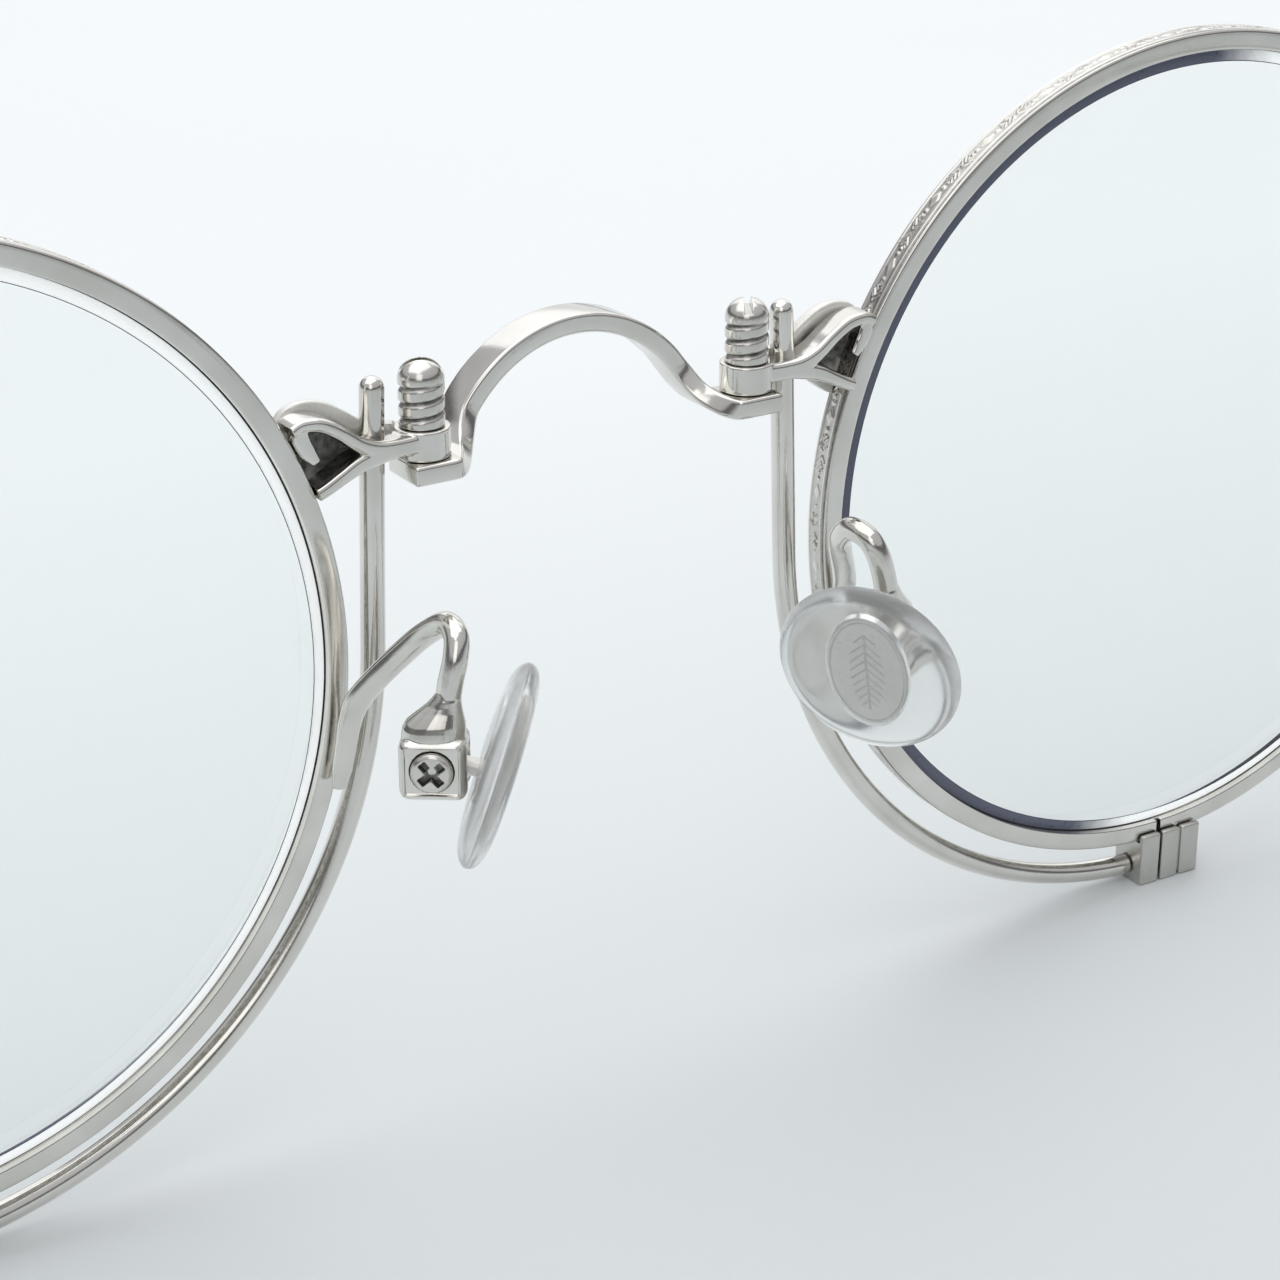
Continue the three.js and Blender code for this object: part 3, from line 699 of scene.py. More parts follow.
def paint_bevel_light(obj, sign):
    """Paints light and shade on the bevel, from 0 (dark) to 1 (lit): painted shade lines along both borders,
    and painted shade on the side that faces left.
    """
    middle = Vector((sign * HALF_LENS, 0))
    values = []
    for vertex in obj.data.vertices:
        x, _, z = (vertex.co - ORIGIN) / MM
        outward = Vector((x, z)) - middle
        radius = outward.length
        outward.normalize()
        # Painted shade lines where the bevel meets the clear glass and where it meets the rim.
        inner_line = smoothstep(LENS_CLEAR, LENS_CLEAR + 0.06, radius)
        outer_line = 1 - smoothstep(BEVEL_COVERED - 0.05, BEVEL_COVERED, radius)
        # Painted shade: the side of each bevel that faces the wearer's left is darkened.
        painted_shade_side = smoothstep(-0.15, 0.15, outward.x + 0.15 * outward.y)
        values.append(inner_line * outer_line * (1 - 0.6 * painted_shade_side))
    mark(obj, "painted_edge_light", values)


# ---------------------------------------------------------------- closing blocks

BLOCK_START = -0.85
BLOCK_END = 3.25
BLOCK_RIB = (BLOCK_END - BLOCK_START) / 3
BLOCK_LOW = (-2.0, -25.4)
BLOCK_HIGH = (0.4, -22.35)


def rib(name, x0, x1):
    (y0, z0), (y1, z1) = BLOCK_LOW, BLOCK_HIGH
    return block(name, (x0, y0, z0), (x1, y1, z1), 0.15, 4)


def block_halves():
    """The nasal half is one rib. The temporal half is two, with a groove between them."""
    gap = 0.08
    groove = 0.07
    first_end = BLOCK_START + BLOCK_RIB
    second_end = first_end + BLOCK_RIB
    nasal = rib("nasal", BLOCK_START, first_end - gap)
    temporal = combine(
        rib("temporal", first_end + gap, second_end - groove),
        block("core", (RIM_SPLIT + 0.3, -1.8, -25.2), (BLOCK_END - 0.3, 0.24, -22.5), 0.05),
        rib("outer", second_end + groove, BLOCK_END), operation="UNION")
    for half in (nasal, temporal):
        combine(half, stand_along_y(cylinder("seat", RIM_OUTER + 0.05, -1.65, 0.12, 256)))
    return to_left_lens(nasal), to_left_lens(temporal)


def block_screw():
    y = (BLOCK_LOW[0] + BLOCK_HIGH[0]) / 2
    head = BLOCK_END + 0.1
    shaft = [(0, -0.6), (0.4, -0.6), (0.4, head)]
    cap = [(0.62, head), (0.7, head + 0.08), (0.68, head + 0.26), (0.55, head + 0.36), (0, head + 0.4)]
    screw = stand_along_x(lathe("screw", shaft + cap, 64))
    shift(screw, 0, y, -24.2)
    slot = block("slot", (head + 0.22, y - 0.09, -26), (head + 1, y + 0.09, -22))
    return to_left_lens(combine(screw, slot))


# ---------------------------------------------------------------- side wires

def side_wire():
    """Round the nasal side of the rim from the block, then straight up past the bracket to a round end."""
    start = math.asin(0.97 / WIRE_PATH)
    arc_steps = 90
    path = []
    for i in range(arc_steps + 1):
        angle = start + (math.pi / 2 - WIRE_LEAVE - start) * i / arc_steps
        path.append(Vector((-WIRE_PATH * math.sin(angle), WIRE_DEPTH, -WIRE_PATH * math.cos(angle))))
    last = path[-1]
    straight_steps = 14
    for i in range(1, straight_steps + 1):
        height = last.z + (WIRE_TOP - last.z) * i / straight_steps
        path.append(Vector((last.x - (height - last.z) * math.tan(WIRE_LEAVE), WIRE_DEPTH, height)))
    return to_left_lens(rod("wire", path, WIRE_RADIUS, 32, (False, True)))


# ---------------------------------------------------------------- bridge

ARCH_HALF_WIDTH = 7.21
ARCH_HEIGHT = 7.98
ARCH_CENTRE = 4.76
ARCH_FOOT = math.radians(32.1)
ARCH_REAR = -2.16
ARCH_DEPTH = 2.05
LUG_REAR = 0.35
LUG_DEPTH = 2.8
LUG_MIDDLE = 7.825
LUG_END = 10.0
LUG_START = 7.7
STRIP = 0.97


def bridge_half_line():
    """The left half of the strip's middle line in front view, from the crown to the end of the lug."""
    points = []
    for k in range(41):
        angle = math.pi / 2 + (ARCH_FOOT - math.pi / 2) * k / 40
        points.append((ARCH_HALF_WIDTH * math.cos(angle), ARCH_CENTRE + ARCH_HEIGHT * math.sin(angle)))
    x0, z0 = points[-1]
    pull_x = 6.77
    for k in range(1, 15):
        t = k / 14
        x = (1 - t) ** 2 * x0 + 2 * t * (1 - t) * pull_x + t * t * LUG_START
        z = (1 - t) ** 2 * z0 + (1 - (1 - t) ** 2) * LUG_MIDDLE
        points.append((x, z))
    for k in range(1, 9):
        points.append((LUG_START + (LUG_END - LUG_START) * k / 8, LUG_MIDDLE))
    return points


def bridge():
    """The arched strip, which stands forward between its lugs."""
    half = bridge_half_line()
    line = [(-x, z) for x, z in reversed(half[1:])] + half
    rings = []
    for i, (x, z) in enumerate(line):
        before, after = line[max(i - 1, 0)], line[min(i + 1, len(line) - 1)]
        tangent = Vector((after[0] - before[0], 0, after[1] - before[1])).normalized()
        normal = Vector((-tangent.z, 0, tangent.x))
        t = smoothstep(5.6, LUG_START + 0.1, abs(x))
        rear = ARCH_REAR + (LUG_REAR - ARCH_REAR) * t
        depth = ARCH_DEPTH + (LUG_DEPTH - ARCH_DEPTH) * t
        centre = Vector((x, rear - depth / 2, z))
        section = rounded_rectangle(STRIP / 2, depth / 2, 0.2)
        rings.append([centre + normal * a + Vector((0, b, 0)) for a, b in section])
    strip = soften(loft("bridge", rings), 0.14, 3, 70)
    bores = [shift(cylinder("bore", 0.75, 5, 10), sign * SCREW_X, SCREW_Y) for _, sign in SIDES]
    return combine(strip, *bores)


THREAD_DEPTH = 0.13


def bridge_screw(turned):
    """A tall screw with a coarse rounded thread and a domed, slotted end."""
    radius = 1.07
    shaft_radius = 0.62
    shaft_end = 7.4
    base = EYE_TOP + 0.03
    dome_start = 11.95
    top = 12.9
    pitch = 0.74
    steps = 96
    rings = [[Vector((0, 0, shaft_end))]]
    rings += [ellipse(shaft_radius, shaft_radius, z, steps) for z in (shaft_end, base)]
    rows = 90
    for i in range(rows + 1):
        z = base + (dome_start - base) * i / rows
        fade = smoothstep(0, 0.08, z - base) * smoothstep(0, 0.3, dome_start - z)
        ring = []
        for k in range(steps):
            angle = 2 * math.pi * k / steps
            phase = ((z - base) / pitch - angle / (2 * math.pi)) % 1
            groove = math.exp(-((phase - 0.5) / 0.15) ** 2)
            r = radius - THREAD_DEPTH * groove * fade
            ring.append(Vector((r * math.cos(angle), r * math.sin(angle), z)))
        rings.append(ring)
    dome_rows = 16
    for i in range(1, dome_rows):
        angle = math.pi / 2 * i / dome_rows
        z = dome_start + (top - dome_start) * math.sin(angle)
        rings.append(ellipse(radius * math.cos(angle), radius * math.cos(angle), z, steps))
    rings.append([Vector((0, 0, top))])
    slot = turn(block("slot", (-0.2, -2, top - 0.6), (0.2, 2, top + 1)), turned, "Z")
    screw = melt("screw", [combine(loft("screw", rings), slot)], 0.028, 3)

    def in_thread(x, y, z):
        if not base < z < dome_start:
            return 0
        return 1 - smoothstep(radius - THREAD_DEPTH, radius, math.hypot(x, y))

    return tarnish_and_shade(screw, in_thread)


# ---------------------------------------------------------------- brackets

FORK_REAR = -0.1
FORK_DEPTH = 1.6


def strap(name, points, widths, rear, depth):
    """A strip on edge along front-view points, whose width changes along it."""
    path = smooth_path([(x, rear - depth / 2, z) for x, z in points], 10)

    def section(share):
        place_along = share * (len(widths) - 1)
        i = min(int(place_along), len(widths) - 2)
        width = widths[i] + (widths[i + 1] - widths[i]) * (place_along - i)
        return rounded_rectangle(width / 2, depth / 2, min(0.26, width / 2.2))

    starts_level = abs(path[1].x - path[0].x) > 0.01
    return sweep(name, path, section, (0, 0, 1) if starts_level else (1, 0, 0))


def fork():
    """The bracket: the eye round the screw, two straps that part round a hollow, and a hook into it."""
    eye = shift(cylinder("eye", EYE_RADIUS, EYE_BOTTOM, EYE_TOP, 96, 0.06), SCREW_X, SCREW_Y)
    upper_line = [(9.3, 9.2), (10.6, 9.16), (11.6, 9.28), (12.5, 9.72), (13.4, 10.4), (14.3, 10.92),
                  (15.2, 11.05), (15.75, 10.85)]
    upper_widths = [0.94, 0.94, 0.88, 0.72, 0.66, 0.66, 0.62, 0.55]
    upper = strap("upper", upper_line, upper_widths, FORK_REAR, FORK_DEPTH)
    lower_line = [(10.6, 9.15), (11.6, 8.98), (12.5, 8.74), (13.3, 8.36), (14.1, 7.95), (14.75, 7.68)]
    lower_widths = [0.8, 0.86, 0.8, 0.7, 0.66, 0.64]
    lower = strap("lower", lower_line, lower_widths, FORK_REAR, FORK_DEPTH)
    hook_line = [(15.3, 10.9), (15.28, 10.4), (15.02, 9.85), (14.62, 9.3)]
    hook = strap("hook", hook_line, [0.7, 0.84, 0.8, 0.5], FORK_REAR - 0.05, FORK_DEPTH * 0.6)
    body = melt("fork", [eye, upper, lower, hook], 0.036, 7)
    bore = shift(cylinder("bore", 0.75, 5, 12), SCREW_X, SCREW_Y)
    rim_seat = to_left_lens(stand_along_y(cylinder("seat", RIM_OUTER + 0.03, -1.6, 2, 256)))
    combine(body, bore, rim_seat)
    # Painted shade: the fork's walls deep in the hollow are darkened.
    return tarnish_and_shade(body, lambda x, y, z: hollow_painted_shade(x, z) * smoothstep(0.35, 0.6, -y))


def hollow_painted_shade(x, z):
    """1 inside the bracket's hollow, seen from the rear, and 0 outside it: where painted shade darkens the
    fork and the shield.
    """
    return 1 - smoothstep(0.95, 1.1, math.hypot((x - 13.8) / 1.5, (z - 9.4) / 1.15))


def shield():
    """The smooth plate in front of the side wire, pillowed towards the front, from the eye to the rim."""
    top = [(9.6, 9.75), (10.7, 9.98), (11.6, 10.3), (12.4, 10.86), (13.2, 11.36), (14.0, 11.62)]
    rim_side = [(14.8, 11.62), (15.55, 11.3), (16.0, 10.6), (16.08, 9.6), (15.98, 8.4), (15.7, 7.35)]
    bottom = [(15.05, 6.8), (14.1, 7.05), (12.9, 7.85), (11.9, 8.45), (10.7, 8.72), (9.6, 8.75)]
    corners = [(9.3, 9.0)] + top + rim_side + bottom
    loop = smooth_path([(x, 0, z) for x, z in corners + corners[:1]], 6)[:-1]
    middle = Vector((13.6, 0, 9.4))
    rings = [[Vector((middle.x, -1.98, middle.z))]]
    rear_face = [(-1.95, 0.15), (-1.93, 0.3), (-1.89, 0.45), (-1.84, 0.6), (-1.8, 0.72), (-1.75, 0.85)]
    edge = [(-1.72, 0.965), (-1.76, 0.99), (-1.84, 1.0), (-2.1, 1.0), (-2.24, 0.985), (-2.34, 0.95)]
    pillow = [(-2.43, 0.85), (-2.5, 0.6), (-2.53, 0.3)]
    for y, share in rear_face + edge + pillow:
        rings.append([Vector((middle.x + (p.x - middle.x) * share, y, middle.z + (p.z - middle.z) * share))
                      for p in loop])
    rings.append([Vector((middle.x, -2.54, middle.z))])
    plate_piece = loft("shield", rings)
    eye_space = shift(cylinder("space", EYE_RADIUS + 0.05, 5, 12, 96), SCREW_X, SCREW_Y)
    rim_space = to_left_lens(stand_along_y(cylinder("space", RIM_OUTER + 0.05, -1.62, 2, 256)))
    combine(plate_piece, eye_space, rim_space)
    # Painted shade: the shield's rear face inside the hollow is darkened.
    return tarnish_and_shade(plate_piece, lambda x, y, z: hollow_painted_shade(x, z) * (y > -2))


# ---------------------------------------------------------------- nose pads

def pad_arm():
    """A flattened foot on the rim, a straight wire, a tight bend and a flared shoulder into the box."""
    foot = [(14.4, 0.12, -6.4), (14.22, 0.14, -5.5), (14.02, 0.2, -4.4), (13.84, 0.36, -3.2)]
    rise = [(13.6, 0.78, -2.05), (12.95, 1.5, -0.8), (12.1, 2.42, 0.55), (11.42, 3.4, 1.7)]
    bend = [(11.07, 4.7, 2.55), (11.2, 5.85, 2.4), (11.5, 6.3, 1.6), (11.8, 6.37, 0.6)]
    leg = [(11.96, 6.39, -0.2), (12.0, 6.39, -0.9), (12.05, 6.36, -2.2)]
    points = foot + rise + bend + leg
    flat_part = [(0.38, 0.2, 2.4), (0.48, 0.3, 3.0), (0.5, 0.34, 3.0), (0.54, 0.42, 2.6), (0.62, 0.5, 2.3),
                 (0.6, 0.57, 2.0)]
    stations = flat_part + [(0.58, 0.58, 2.0)] * (len(points) - len(flat_part))

    def section(share):
        along = share * (len(stations) - 1)
        i = min(int(along), len(stations) - 2)
        t = smoothstep(0, 1, along - i)
        half_width, half_height, power = (a + (b - a) * t for a, b in zip(stations[i], stations[i + 1]))
        return superellipse(half_width, half_height, power, 32)

    wire = sweep("wire", smooth_path(points, 8), section, (1, 0, 0), (True, False))
    shell = block("shell", (-1.55, -1.3, -1.45), (1.5, 1.3, 1.45), 0.5, 5)
    opening = block("opening", (-3, -0.65, -3), (0.95, 0.65, 0.9))
    recess = block("recess", (-1.2, 1.1, -1.1), (1.2, 2, 1.15))
    seat = stand_along_y(cylinder("seat", 1.0, 0.8, 2))
    shoulder_rows = [(1.15, 0.0, 1.44, 1.12), (1.5, -0.02, 1.44, 1.1), (1.75, -0.05, 1.42, 1.05),
                     (2.0, -0.12, 1.33, 0.98), (2.3, -0.26, 1.13, 0.86), (2.6, -0.41, 0.93, 0.74),
                     (2.85, -0.53, 0.78, 0.66), (3.1, -0.62, 0.67, 0.6), (3.4, -0.67, 0.5, 0.5)]
    shoulder = loft("shoulder", [
        [Vector((middle + x, y, z)) for x, y in superellipse(half_width, half_depth, 2.5, 40)]
        for z, middle, half_width, half_depth in shoulder_rows])
    box_piece = combine(shell, opening, recess, seat)
    arm = melt("arm", [wire, to_left_pad_box(box_piece), to_left_pad_box(shoulder)], 0.036, 5)
    bore = to_left_pad_box(stand_along_y(cylinder("bore", 0.55, -3, 3)))
    rim_face = to_left_lens(stand_along_y(cylinder("face", RIM_OUTER + 0.6, -2, 0.03, 256)))
    return combine(arm, bore, rim_face)


def pad_screw():
    shaft = [(0, -1.3), (0.42, -1.3), (0.42, 0.9)]
    head = [(0.9, 0.9), (0.96, 0.98), (0.96, 1.18), (0.9, 1.3), (0.78, 1.38), (0.4, 1.42), (0, 1.42)]
    screw = stand_along_y(lathe("screw", shaft + head, 96))
    cross_turn = 0.7
    arms = []
    for angle in (cross_turn, cross_turn + math.pi / 2):
        arms.append(turn(block("cross", (-0.68, 1.0, -0.2), (0.68, 2, 0.2)), angle, "Y"))
    screw = melt("screw", [combine(screw, *arms)], 0.026, 2)
    tarnish_and_shade(screw, lambda x, y, z: (1 - smoothstep(1.15, 1.3, y)) * (0.18 < math.hypot(x, z) < 0.78))
    return to_left_pad_box(screw)


def to_left_pad(obj):
    """From a pad's own middle, with its axis along Z, to its place beside the box on the left side."""
    stand_along_x(obj)
    shift(obj, -PAD_OFFSET, 0, PAD_RISE)
    turn(obj, -PAD_LEAN, "Y")
    return to_left_pad_box(obj)


CORE_HALF_TALL = 3.25
CORE_HALF_WIDE = 2.0


def nose_pad():
    """A thick round-edged disc, domed on the skin side, with a pocket for the metal core."""
    half = 0.875
    box_side = [(0, -0.86), (0.3, -0.86), (0.55, -0.84), (0.74, -0.74), (0.87, -0.58), (0.95, -0.36)]
    edge = [(0.99, -0.12), (1.0, 0.08), (0.985, 0.34), (0.945, 0.58)]
    skin_side = [(0.86, 0.78), (0.72, 0.9), (0.5, 0.97), (0.25, 0.995), (0, 1)]
    smooth = smooth_path([(r, 0, h) for r, h in box_side + edge + skin_side], 4)
    profile = [(max(p.x, 0), -p.z * half) for p in smooth]
    profile[0] = (0, profile[0][1])
    profile[-1] = (0, profile[-1][1])
    disc = lathe("pad", profile, 128, (4.85, 4.55))
    room = 0.09
    pocket_size = (CORE_HALF_TALL + room, CORE_HALF_WIDE + room)
    pocket = lathe("pocket", [(0, -0.24), (1, -0.24), (1, 0.24), (0, 0.24)], 96, pocket_size)
    stem = shift(cylinder("stem", 0.5, 0, 2, 48), STEM_DROP)
    return to_left_pad(combine(disc, pocket, stem))


def frond(along, across):
    """How deep the plate's plain leaf is cut at a place on it, from 0 to 1: a stalk with slanting barbs."""
    line = 0.035
    half_length = 2.3
    if abs(along) > half_length:
        return 0
    stalk = 1 - smoothstep(line, 2 * line, abs(across))
    reach = 0.85 * math.sqrt(1 - (along / half_length) ** 2)
    if abs(across) > reach:
        return stalk
    spacing = 0.5
    from_barb = abs((along - 0.9 * abs(across)) % spacing - spacing / 2)
    return max(stalk, 1 - smoothstep(line, 2 * line, from_barb))


def pad_core():
    """The oval plate in the pad, with a cut border and leaf, on a stem that ends in the screw's eye."""
    half = 0.2
    cut = 0.035
    steps = 256
    face_rows = 64
    profile = [(0, half), (0.9, half), (0.97, half * 0.85), (1, half * 0.4)]
    profile += [(1, -half * 0.4), (0.98, -half * 0.85)]
    profile += [(0.96 * (1 - k / face_rows), -half) for k in range(face_rows + 1)]
    oval = lathe("oval", profile, steps, (CORE_HALF_TALL, CORE_HALF_WIDE))
    for vertex in oval.data.vertices:
        x, y, z = vertex.co
        radius = math.hypot(x / CORE_HALF_TALL, y / CORE_HALF_WIDE)
        if z < -half * 0.9 and radius < 0.955:
            border = 1 - smoothstep(0.008, 0.02, abs(radius - 0.92))
            vertex.co.z += cut * max(border, frond(x, y) if radius < 0.84 else 0)
    stem = shift(cylinder("stem", 0.42, 0, PAD_OFFSET - 0.3, 40), STEM_DROP)
    tarnish_and_shade(oval, lambda x, y, z: 0.4 * smoothstep(0.1 * cut, 0.8 * cut, z + half) * (z < 0))
    core = to_left_pad(combine(oval, stem, operation="UNION"))
    ring = to_left_pad_box(stand_along_y(cylinder("ring", 0.8, -0.45, 0.45, 64, 0.08)))
    bore = to_left_pad_box(stand_along_y(cylinder("bore", 0.55, -2, 2)))
    return combine(combine(core, ring, operation="UNION"), bore)


# ---------------------------------------------------------------- end pieces and hinges

END_OUTER = 67.4
END_THICK = 1.6
END_TALL = 3.2
END_BEND = 3.4


def end_piece():
    """The bar from the rim that turns back to the hinge, with two grooves across its outer face."""
    middle = END_THICK / 2
    front = -1.1
    path = [Vector((x, front + middle, END_HEIGHT)) for x in (56.6, 58, 60, 62, END_OUTER - END_BEND)]
    centre = Vector((END_OUTER - END_BEND, front + END_BEND, END_HEIGHT))
    for k in range(1, 11):
        angle = math.pi / 2 * k / 10
        radius = END_BEND - middle
        path.append(centre + Vector((radius * math.sin(angle), -radius * math.cos(angle), 0)))
    path += [Vector((END_OUTER - middle, y, END_HEIGHT)) for y in (4.0, 5.5, HINGE_Y)]

    def section(share):
        tall = END_TALL * (0.8 + 0.2 * smoothstep(0.0, 0.5, share))
        return rounded_rectangle(tall / 2, END_THICK / 2, 0.34)

    bar = soften(sweep("end", path, section, (0, 0, 1)), 0.15, 3, 60)
    grooves = []
    for y in (3.6, 4.3):
        groove = lathe("groove", [(0, -3), (0.14, -3), (0.14, 3), (0, 3)], 24)
        grooves.append(shift(groove, END_OUTER + 0.03, y, END_HEIGHT))
    rim_seat = to_left_lens(stand_along_y(cylinder("seat", RIM_OUTER + 0.03, -3, 3, 256)))
    return combine(bar, rim_seat, *grooves)


def hinge_leaf(name, y0, y1, z0, z1):
    inner = END_OUTER - END_THICK - 0.12
    return block(name, (inner - 0.5, y0, END_HEIGHT + z0), (inner, y1, END_HEIGHT + z1), 0.06)


def knuckle(z0, z1):
    return shift(cylinder("knuckle", 1.1, END_HEIGHT + z0, END_HEIGHT + z1, 72, 0.1), HINGE_X, HINGE_Y)


def hinge_bore():
    return shift(cylinder("bore", 0.62, END_HEIGHT - 5, END_HEIGHT + 5), HINGE_X, HINGE_Y)


def hinge_front():
    parts = [hinge_leaf("leaf", 3.4, 6.0, -1.75, 1.75)]
    for z0, z1 in ((-1.75, -0.65), (0.65, 1.75)):
        parts += [hinge_leaf("arm", 5.8, HINGE_Y, z0, z1), knuckle(z0, z1)]
    return combine(melt("hinge", parts, 0.05, 3), hinge_bore())


def hinge_temple():
    parts = [hinge_leaf("leaf", 9.2, 12.0, -1.15, 1.15), hinge_leaf("arm", HINGE_Y, 9.4, -0.55, 0.55)]
    whole = combine(parts[0], parts[1], knuckle(-0.55, 0.55), operation="UNION")
    return combine(whole, hinge_bore())


def hinge_screw():
    foot = END_HEIGHT - 1.95
    head = END_HEIGHT + 1.87
    shaft = [(0, foot), (0.46, foot), (0.5, foot + 0.05), (0.5, head)]
    cap = [(0.8, head), (0.85, head + 0.06), (0.84, head + 0.28), (0.74, head + 0.37), (0, head + 0.4)]
    screw = lathe("screw", shaft + cap, 64)
    slot = block("slot", (-0.1, -2, head + 0.2), (0.1, 2, head + 2))
    return shift(combine(screw, slot), HINGE_X, HINGE_Y)


# ---------------------------------------------------------------- temples

DROP = math.radians(52)
BEND_START = 108
BEND_RADIUS = 16
TIP_RADIUS = 1.65


def temple_line(start, short_by):
    """Straight back, then round the ear and down to the tip, short_by before its end."""
    points = [(TEMPLE_X, start + (BEND_START - start) * k / 8, END_HEIGHT) for k in range(8)]
    for k in range(13):
        angle = DROP * k / 12
        points.append((TEMPLE_X, BEND_START + BEND_RADIUS * math.sin(angle),
                       END_HEIGHT - BEND_RADIUS * (1 - math.cos(angle))))
    _, y, z = points[-1]
    length = (z + 25.4 - TIP_RADIUS * math.cos(DROP)) / math.sin(DROP) - short_by
    for k in range(1, 9):
        run = length * k / 8
        points.append((TEMPLE_X, y + run * math.cos(DROP), z - run * math.sin(DROP)))
    return smooth_path(points, 4)


def temple():
    """A flat bar that tapers back to the sleeve, and the core wire inside it."""
    half_thick = 0.6
    path = [Vector((TEMPLE_X, 7.8 + (TIP_START - 0.4 - 7.8) * k / 60, END_HEIGHT)) for k in range(61)]

    def section(share):
        tall = 2.9 + (1.5 - 2.9) * share
        return rounded_rectangle(tall / 2, half_thick, 0.28)

    bar = soften(sweep("bar", path, section, (0, 0, 1)), 0.12, 3, 60)
    groove_start = 12
    for z in (-0.42, 0.42):
        line = []
        for y in range(groove_start, 53, 4):
            narrowing = 1 - (y - groove_start) / 90
            line.append(Vector((TEMPLE_X + half_thick + 0.03, y, END_HEIGHT + z * narrowing)))
        combine(bar, rod("groove", line, 0.1, 12))
    core = rod("core", temple_line(TIP_START - 2, 5), 0.65, 20)
    return combine(bar, core, operation="UNION")


def temple_tip():
    """The sleeve over the core wire: a ferrule edge at the front and a soft paddle at the end."""
    def section(share):
        paddle = smoothstep(0.45, 0.95, share)
        return superellipse(TIP_RADIUS * (0.94 + 0.06 * paddle), TIP_RADIUS * (0.8 + 0.2 * paddle), 2.3, 36)

    outside = sweep("tip", temple_line(TIP_START, 0.79), section, (0, 0, 1), (False, True))
    soften(outside, 0.12, 3, 60)
    bore = rod("bore", temple_line(TIP_START - 3, 4.5), 0.85, 16)
    return combine(outside, bore)


# ---------------------------------------------------------------- the object

place(bridge(), "bridge", "front", [MIRROR_METAL])
place_pair(rim(), "rim", "front", "polished_metal", RIM_METAL)
for glass, (_, sign) in zip(place_pair(lens(), "lens", "front", "lens_plastic"), SIDES):
    # Painted light and shade values for each lens's bevel.
    paint_bevel_light(glass, sign)
    glass.data.materials[0] = LENS_GLASS
    glass.data.materials[1] = LENS_EDGE_PAINTED_LIGHT
    glass.visible_shadow = False
nasal_half, temporal_half = block_halves()
place_pair(nasal_half, "rim_block_nasal", "front", "polished_metal", BLOCK_METAL)
place_pair(temporal_half, "rim_block_temporal", "front", "polished_metal", BLOCK_METAL)
place_pair(block_screw(), "rim_block_screw", "front", "screw_metal", SCREW_METAL)
place_pair(side_wire(), "side_wire", "front", "polished_metal", MIRROR_METAL)
for side, sign, turned in (("left", 1, 1.15), ("right", -1, -0.5)):
    screw_piece = shift(bridge_screw(turned), sign * SCREW_X, SCREW_Y)
    place(screw_piece, f"bridge_screw_{side}", "front", [SCREW_METAL])
place_pair(fork(), "bridge_fork", "front", "polished_metal", MIRROR_METAL)
place_pair(shield(), "bridge_shield", "front", "satin_metal", SHIELD_METAL)
place_pair(pad_arm(), "pad_arm", "front", "polished_metal", MIRROR_METAL)
place_pair(pad_screw(), "pad_screw", "front", "screw_metal", SCREW_METAL)
place_pair(nose_pad(), "nose_pad", "pad_", "silicone", SILICONE)
place_pair(pad_core(), "pad_core", "pad_", "satin_metal", PLATE_METAL)
place_pair(end_piece(), "end_piece", "front", "polished_metal", MIRROR_METAL)
place_pair(hinge_front(), "hinge_front", "front", "polished_metal", MIRROR_METAL)
place_pair(hinge_screw(), "hinge_screw", "front", "screw_metal", SCREW_METAL)
place_pair(hinge_temple(), "hinge_temple", "temple_", "polished_metal", MIRROR_METAL)
place_pair(temple(), "temple", "temple_", "polished_metal", MIRROR_METAL)
place_pair(temple_tip(), "temple_tip", "temple_", "tip_acetate", ACETATE)


# ---------------------------------------------------------------- floor, light and camera

def floor():
    half = 3.0
    corners = [(-half, -half, 0), (half, -half, 0), (half, half, 0), (-half, half, 0)]
    mesh = bpy.data.meshes.new("floor")
    mesh.from_pydata(corners, [], [(0, 1, 2, 3)])
    obj = add_object("floor", mesh)
    mesh.materials.append(table_surface())


def softbox(name, place_at, aim_at, size, watts, colour=(1, 1, 1)):
    light = bpy.data.lights.new(name, "AREA")
    light.shape = "RECTANGLE"
    light.size, light.size_y = size
    light.energy = watts
    light.color = colour
    obj = add_object(name, light)
    obj.location = place_at
    obj.rotation_euler = (Vector(aim_at) - Vector(place_at)).to_track_quat("-Z", "Y").to_euler()


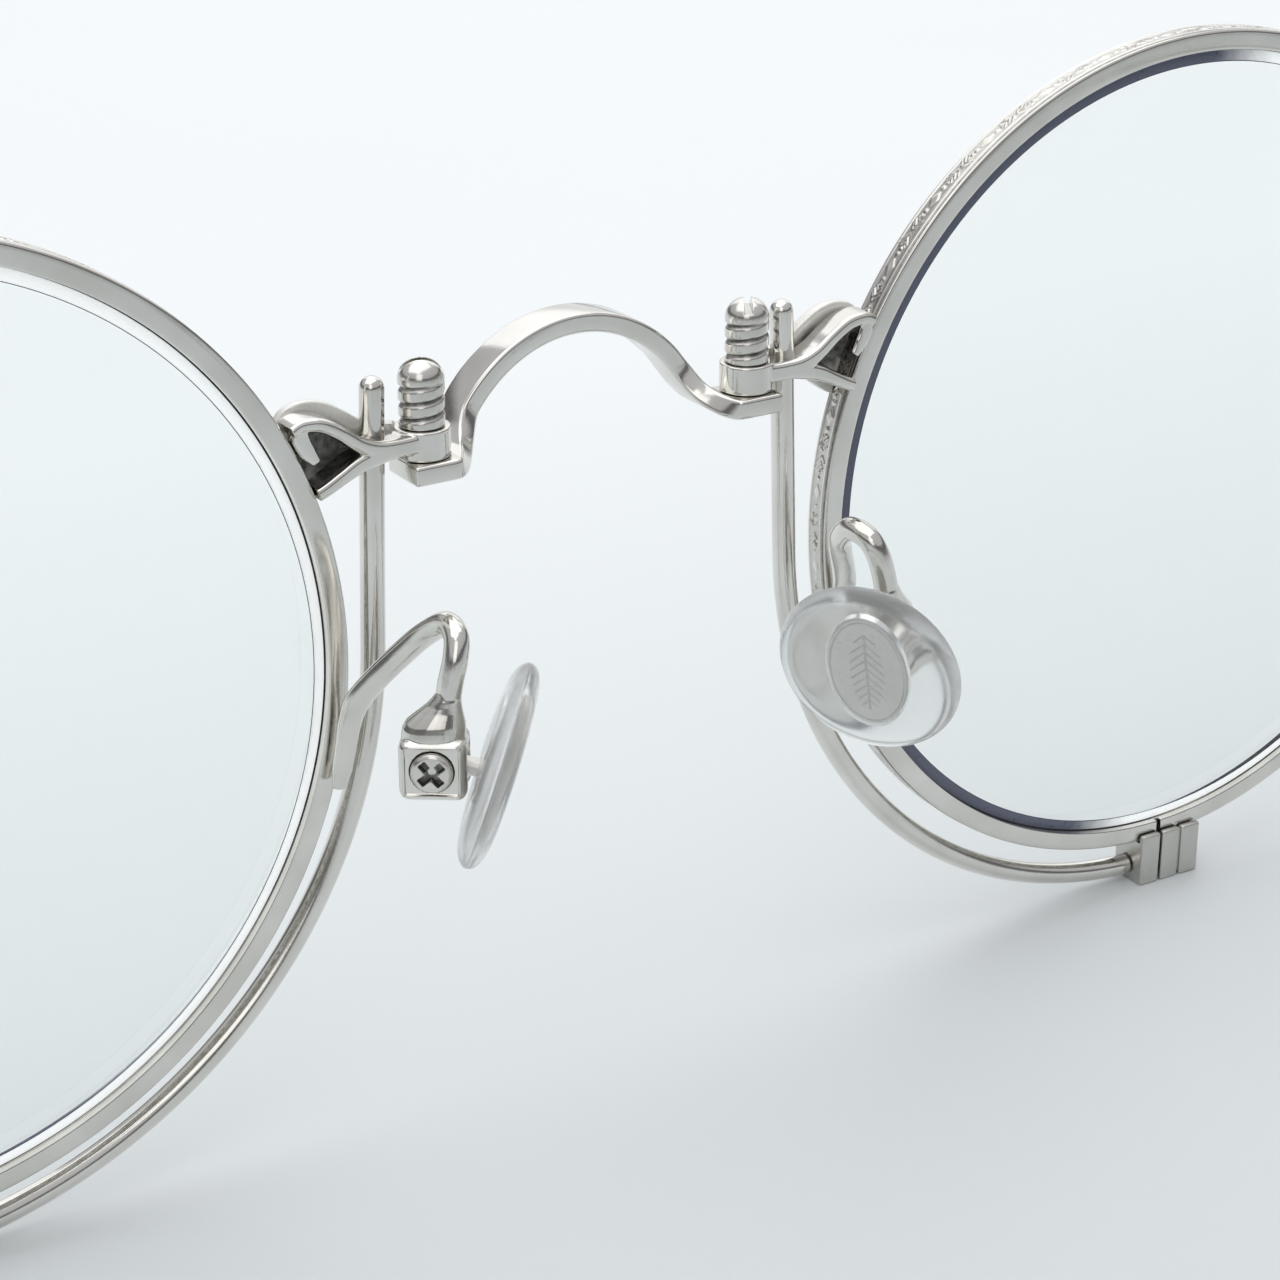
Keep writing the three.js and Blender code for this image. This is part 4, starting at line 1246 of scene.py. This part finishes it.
def room():
    """A soft grey room with a dark band above the horizon, so that polished edges show."""
    world = bpy.data.worlds.new("room")
    world.use_nodes = True
    bpy.context.scene.world = world
    tree = world.node_tree
    coordinates = tree.nodes.new("ShaderNodeTexCoord")
    split = tree.nodes.new("ShaderNodeSeparateXYZ")
    ramp = tree.nodes.new("ShaderNodeValToRGB")
    tree.links.new(coordinates.outputs["Generated"], split.inputs["Vector"])
    tree.links.new(split.outputs["Z"], ramp.inputs["Fac"])
    ramp.color_ramp.elements[0].position = 0.0
    ramp.color_ramp.elements[0].color = (0.5, 0.52, 0.53, 1)
    ramp.color_ramp.elements[1].position = 1.0
    ramp.color_ramp.elements[1].color = (0.5, 0.52, 0.54, 1)
    for position, value in ((0.1, 0.14), (0.26, 0.1), (0.37, 0.42), (0.7, 0.46)):
        element = ramp.color_ramp.elements.new(position)
        element.color = (value, value, value * 1.03, 1)
    background = tree.nodes["Background"]
    tree.links.new(ramp.outputs["Color"], background.inputs["Color"])
    background.inputs["Strength"].default_value = 1.27


def camera():
    """Behind and above the wearer's left side, looking down across the bridge."""
    eye = ORIGIN + Vector((69.87, 114.14, 54.54)) * MM
    azimuth = math.radians(-32.213)
    elevation = math.radians(23.06)
    ahead = Vector((math.sin(azimuth) * math.cos(elevation), -math.cos(azimuth) * math.cos(elevation),
                    -math.sin(elevation)))
    data = bpy.data.cameras.new("camera")
    data.lens = 85.37
    data.sensor_width = 36
    data.clip_start = 0.005
    obj = add_object("camera", data)
    obj.location = eye
    obj.rotation_euler = ahead.to_track_quat("-Z", "Y").to_euler()
    bpy.context.scene.camera = obj


floor()
room()
softbox("overhead", (0.05, -0.15, 0.75), (0, -0.03, 0), (1.2, 0.9), 3.0)
softbox("rear_window", (0.55, 0.7, 0.55), (0, -0.05, 0.02), (0.5, 0.7), 0.9, (1, 0.99, 0.975))
softbox("front_window", (-0.5, -0.8, 0.5), (0, -0.05, 0.02), (1.3, 0.9), 2.8, (0.97, 0.99, 1))
camera()
bpy.context.scene.view_settings.view_transform = "Standard"
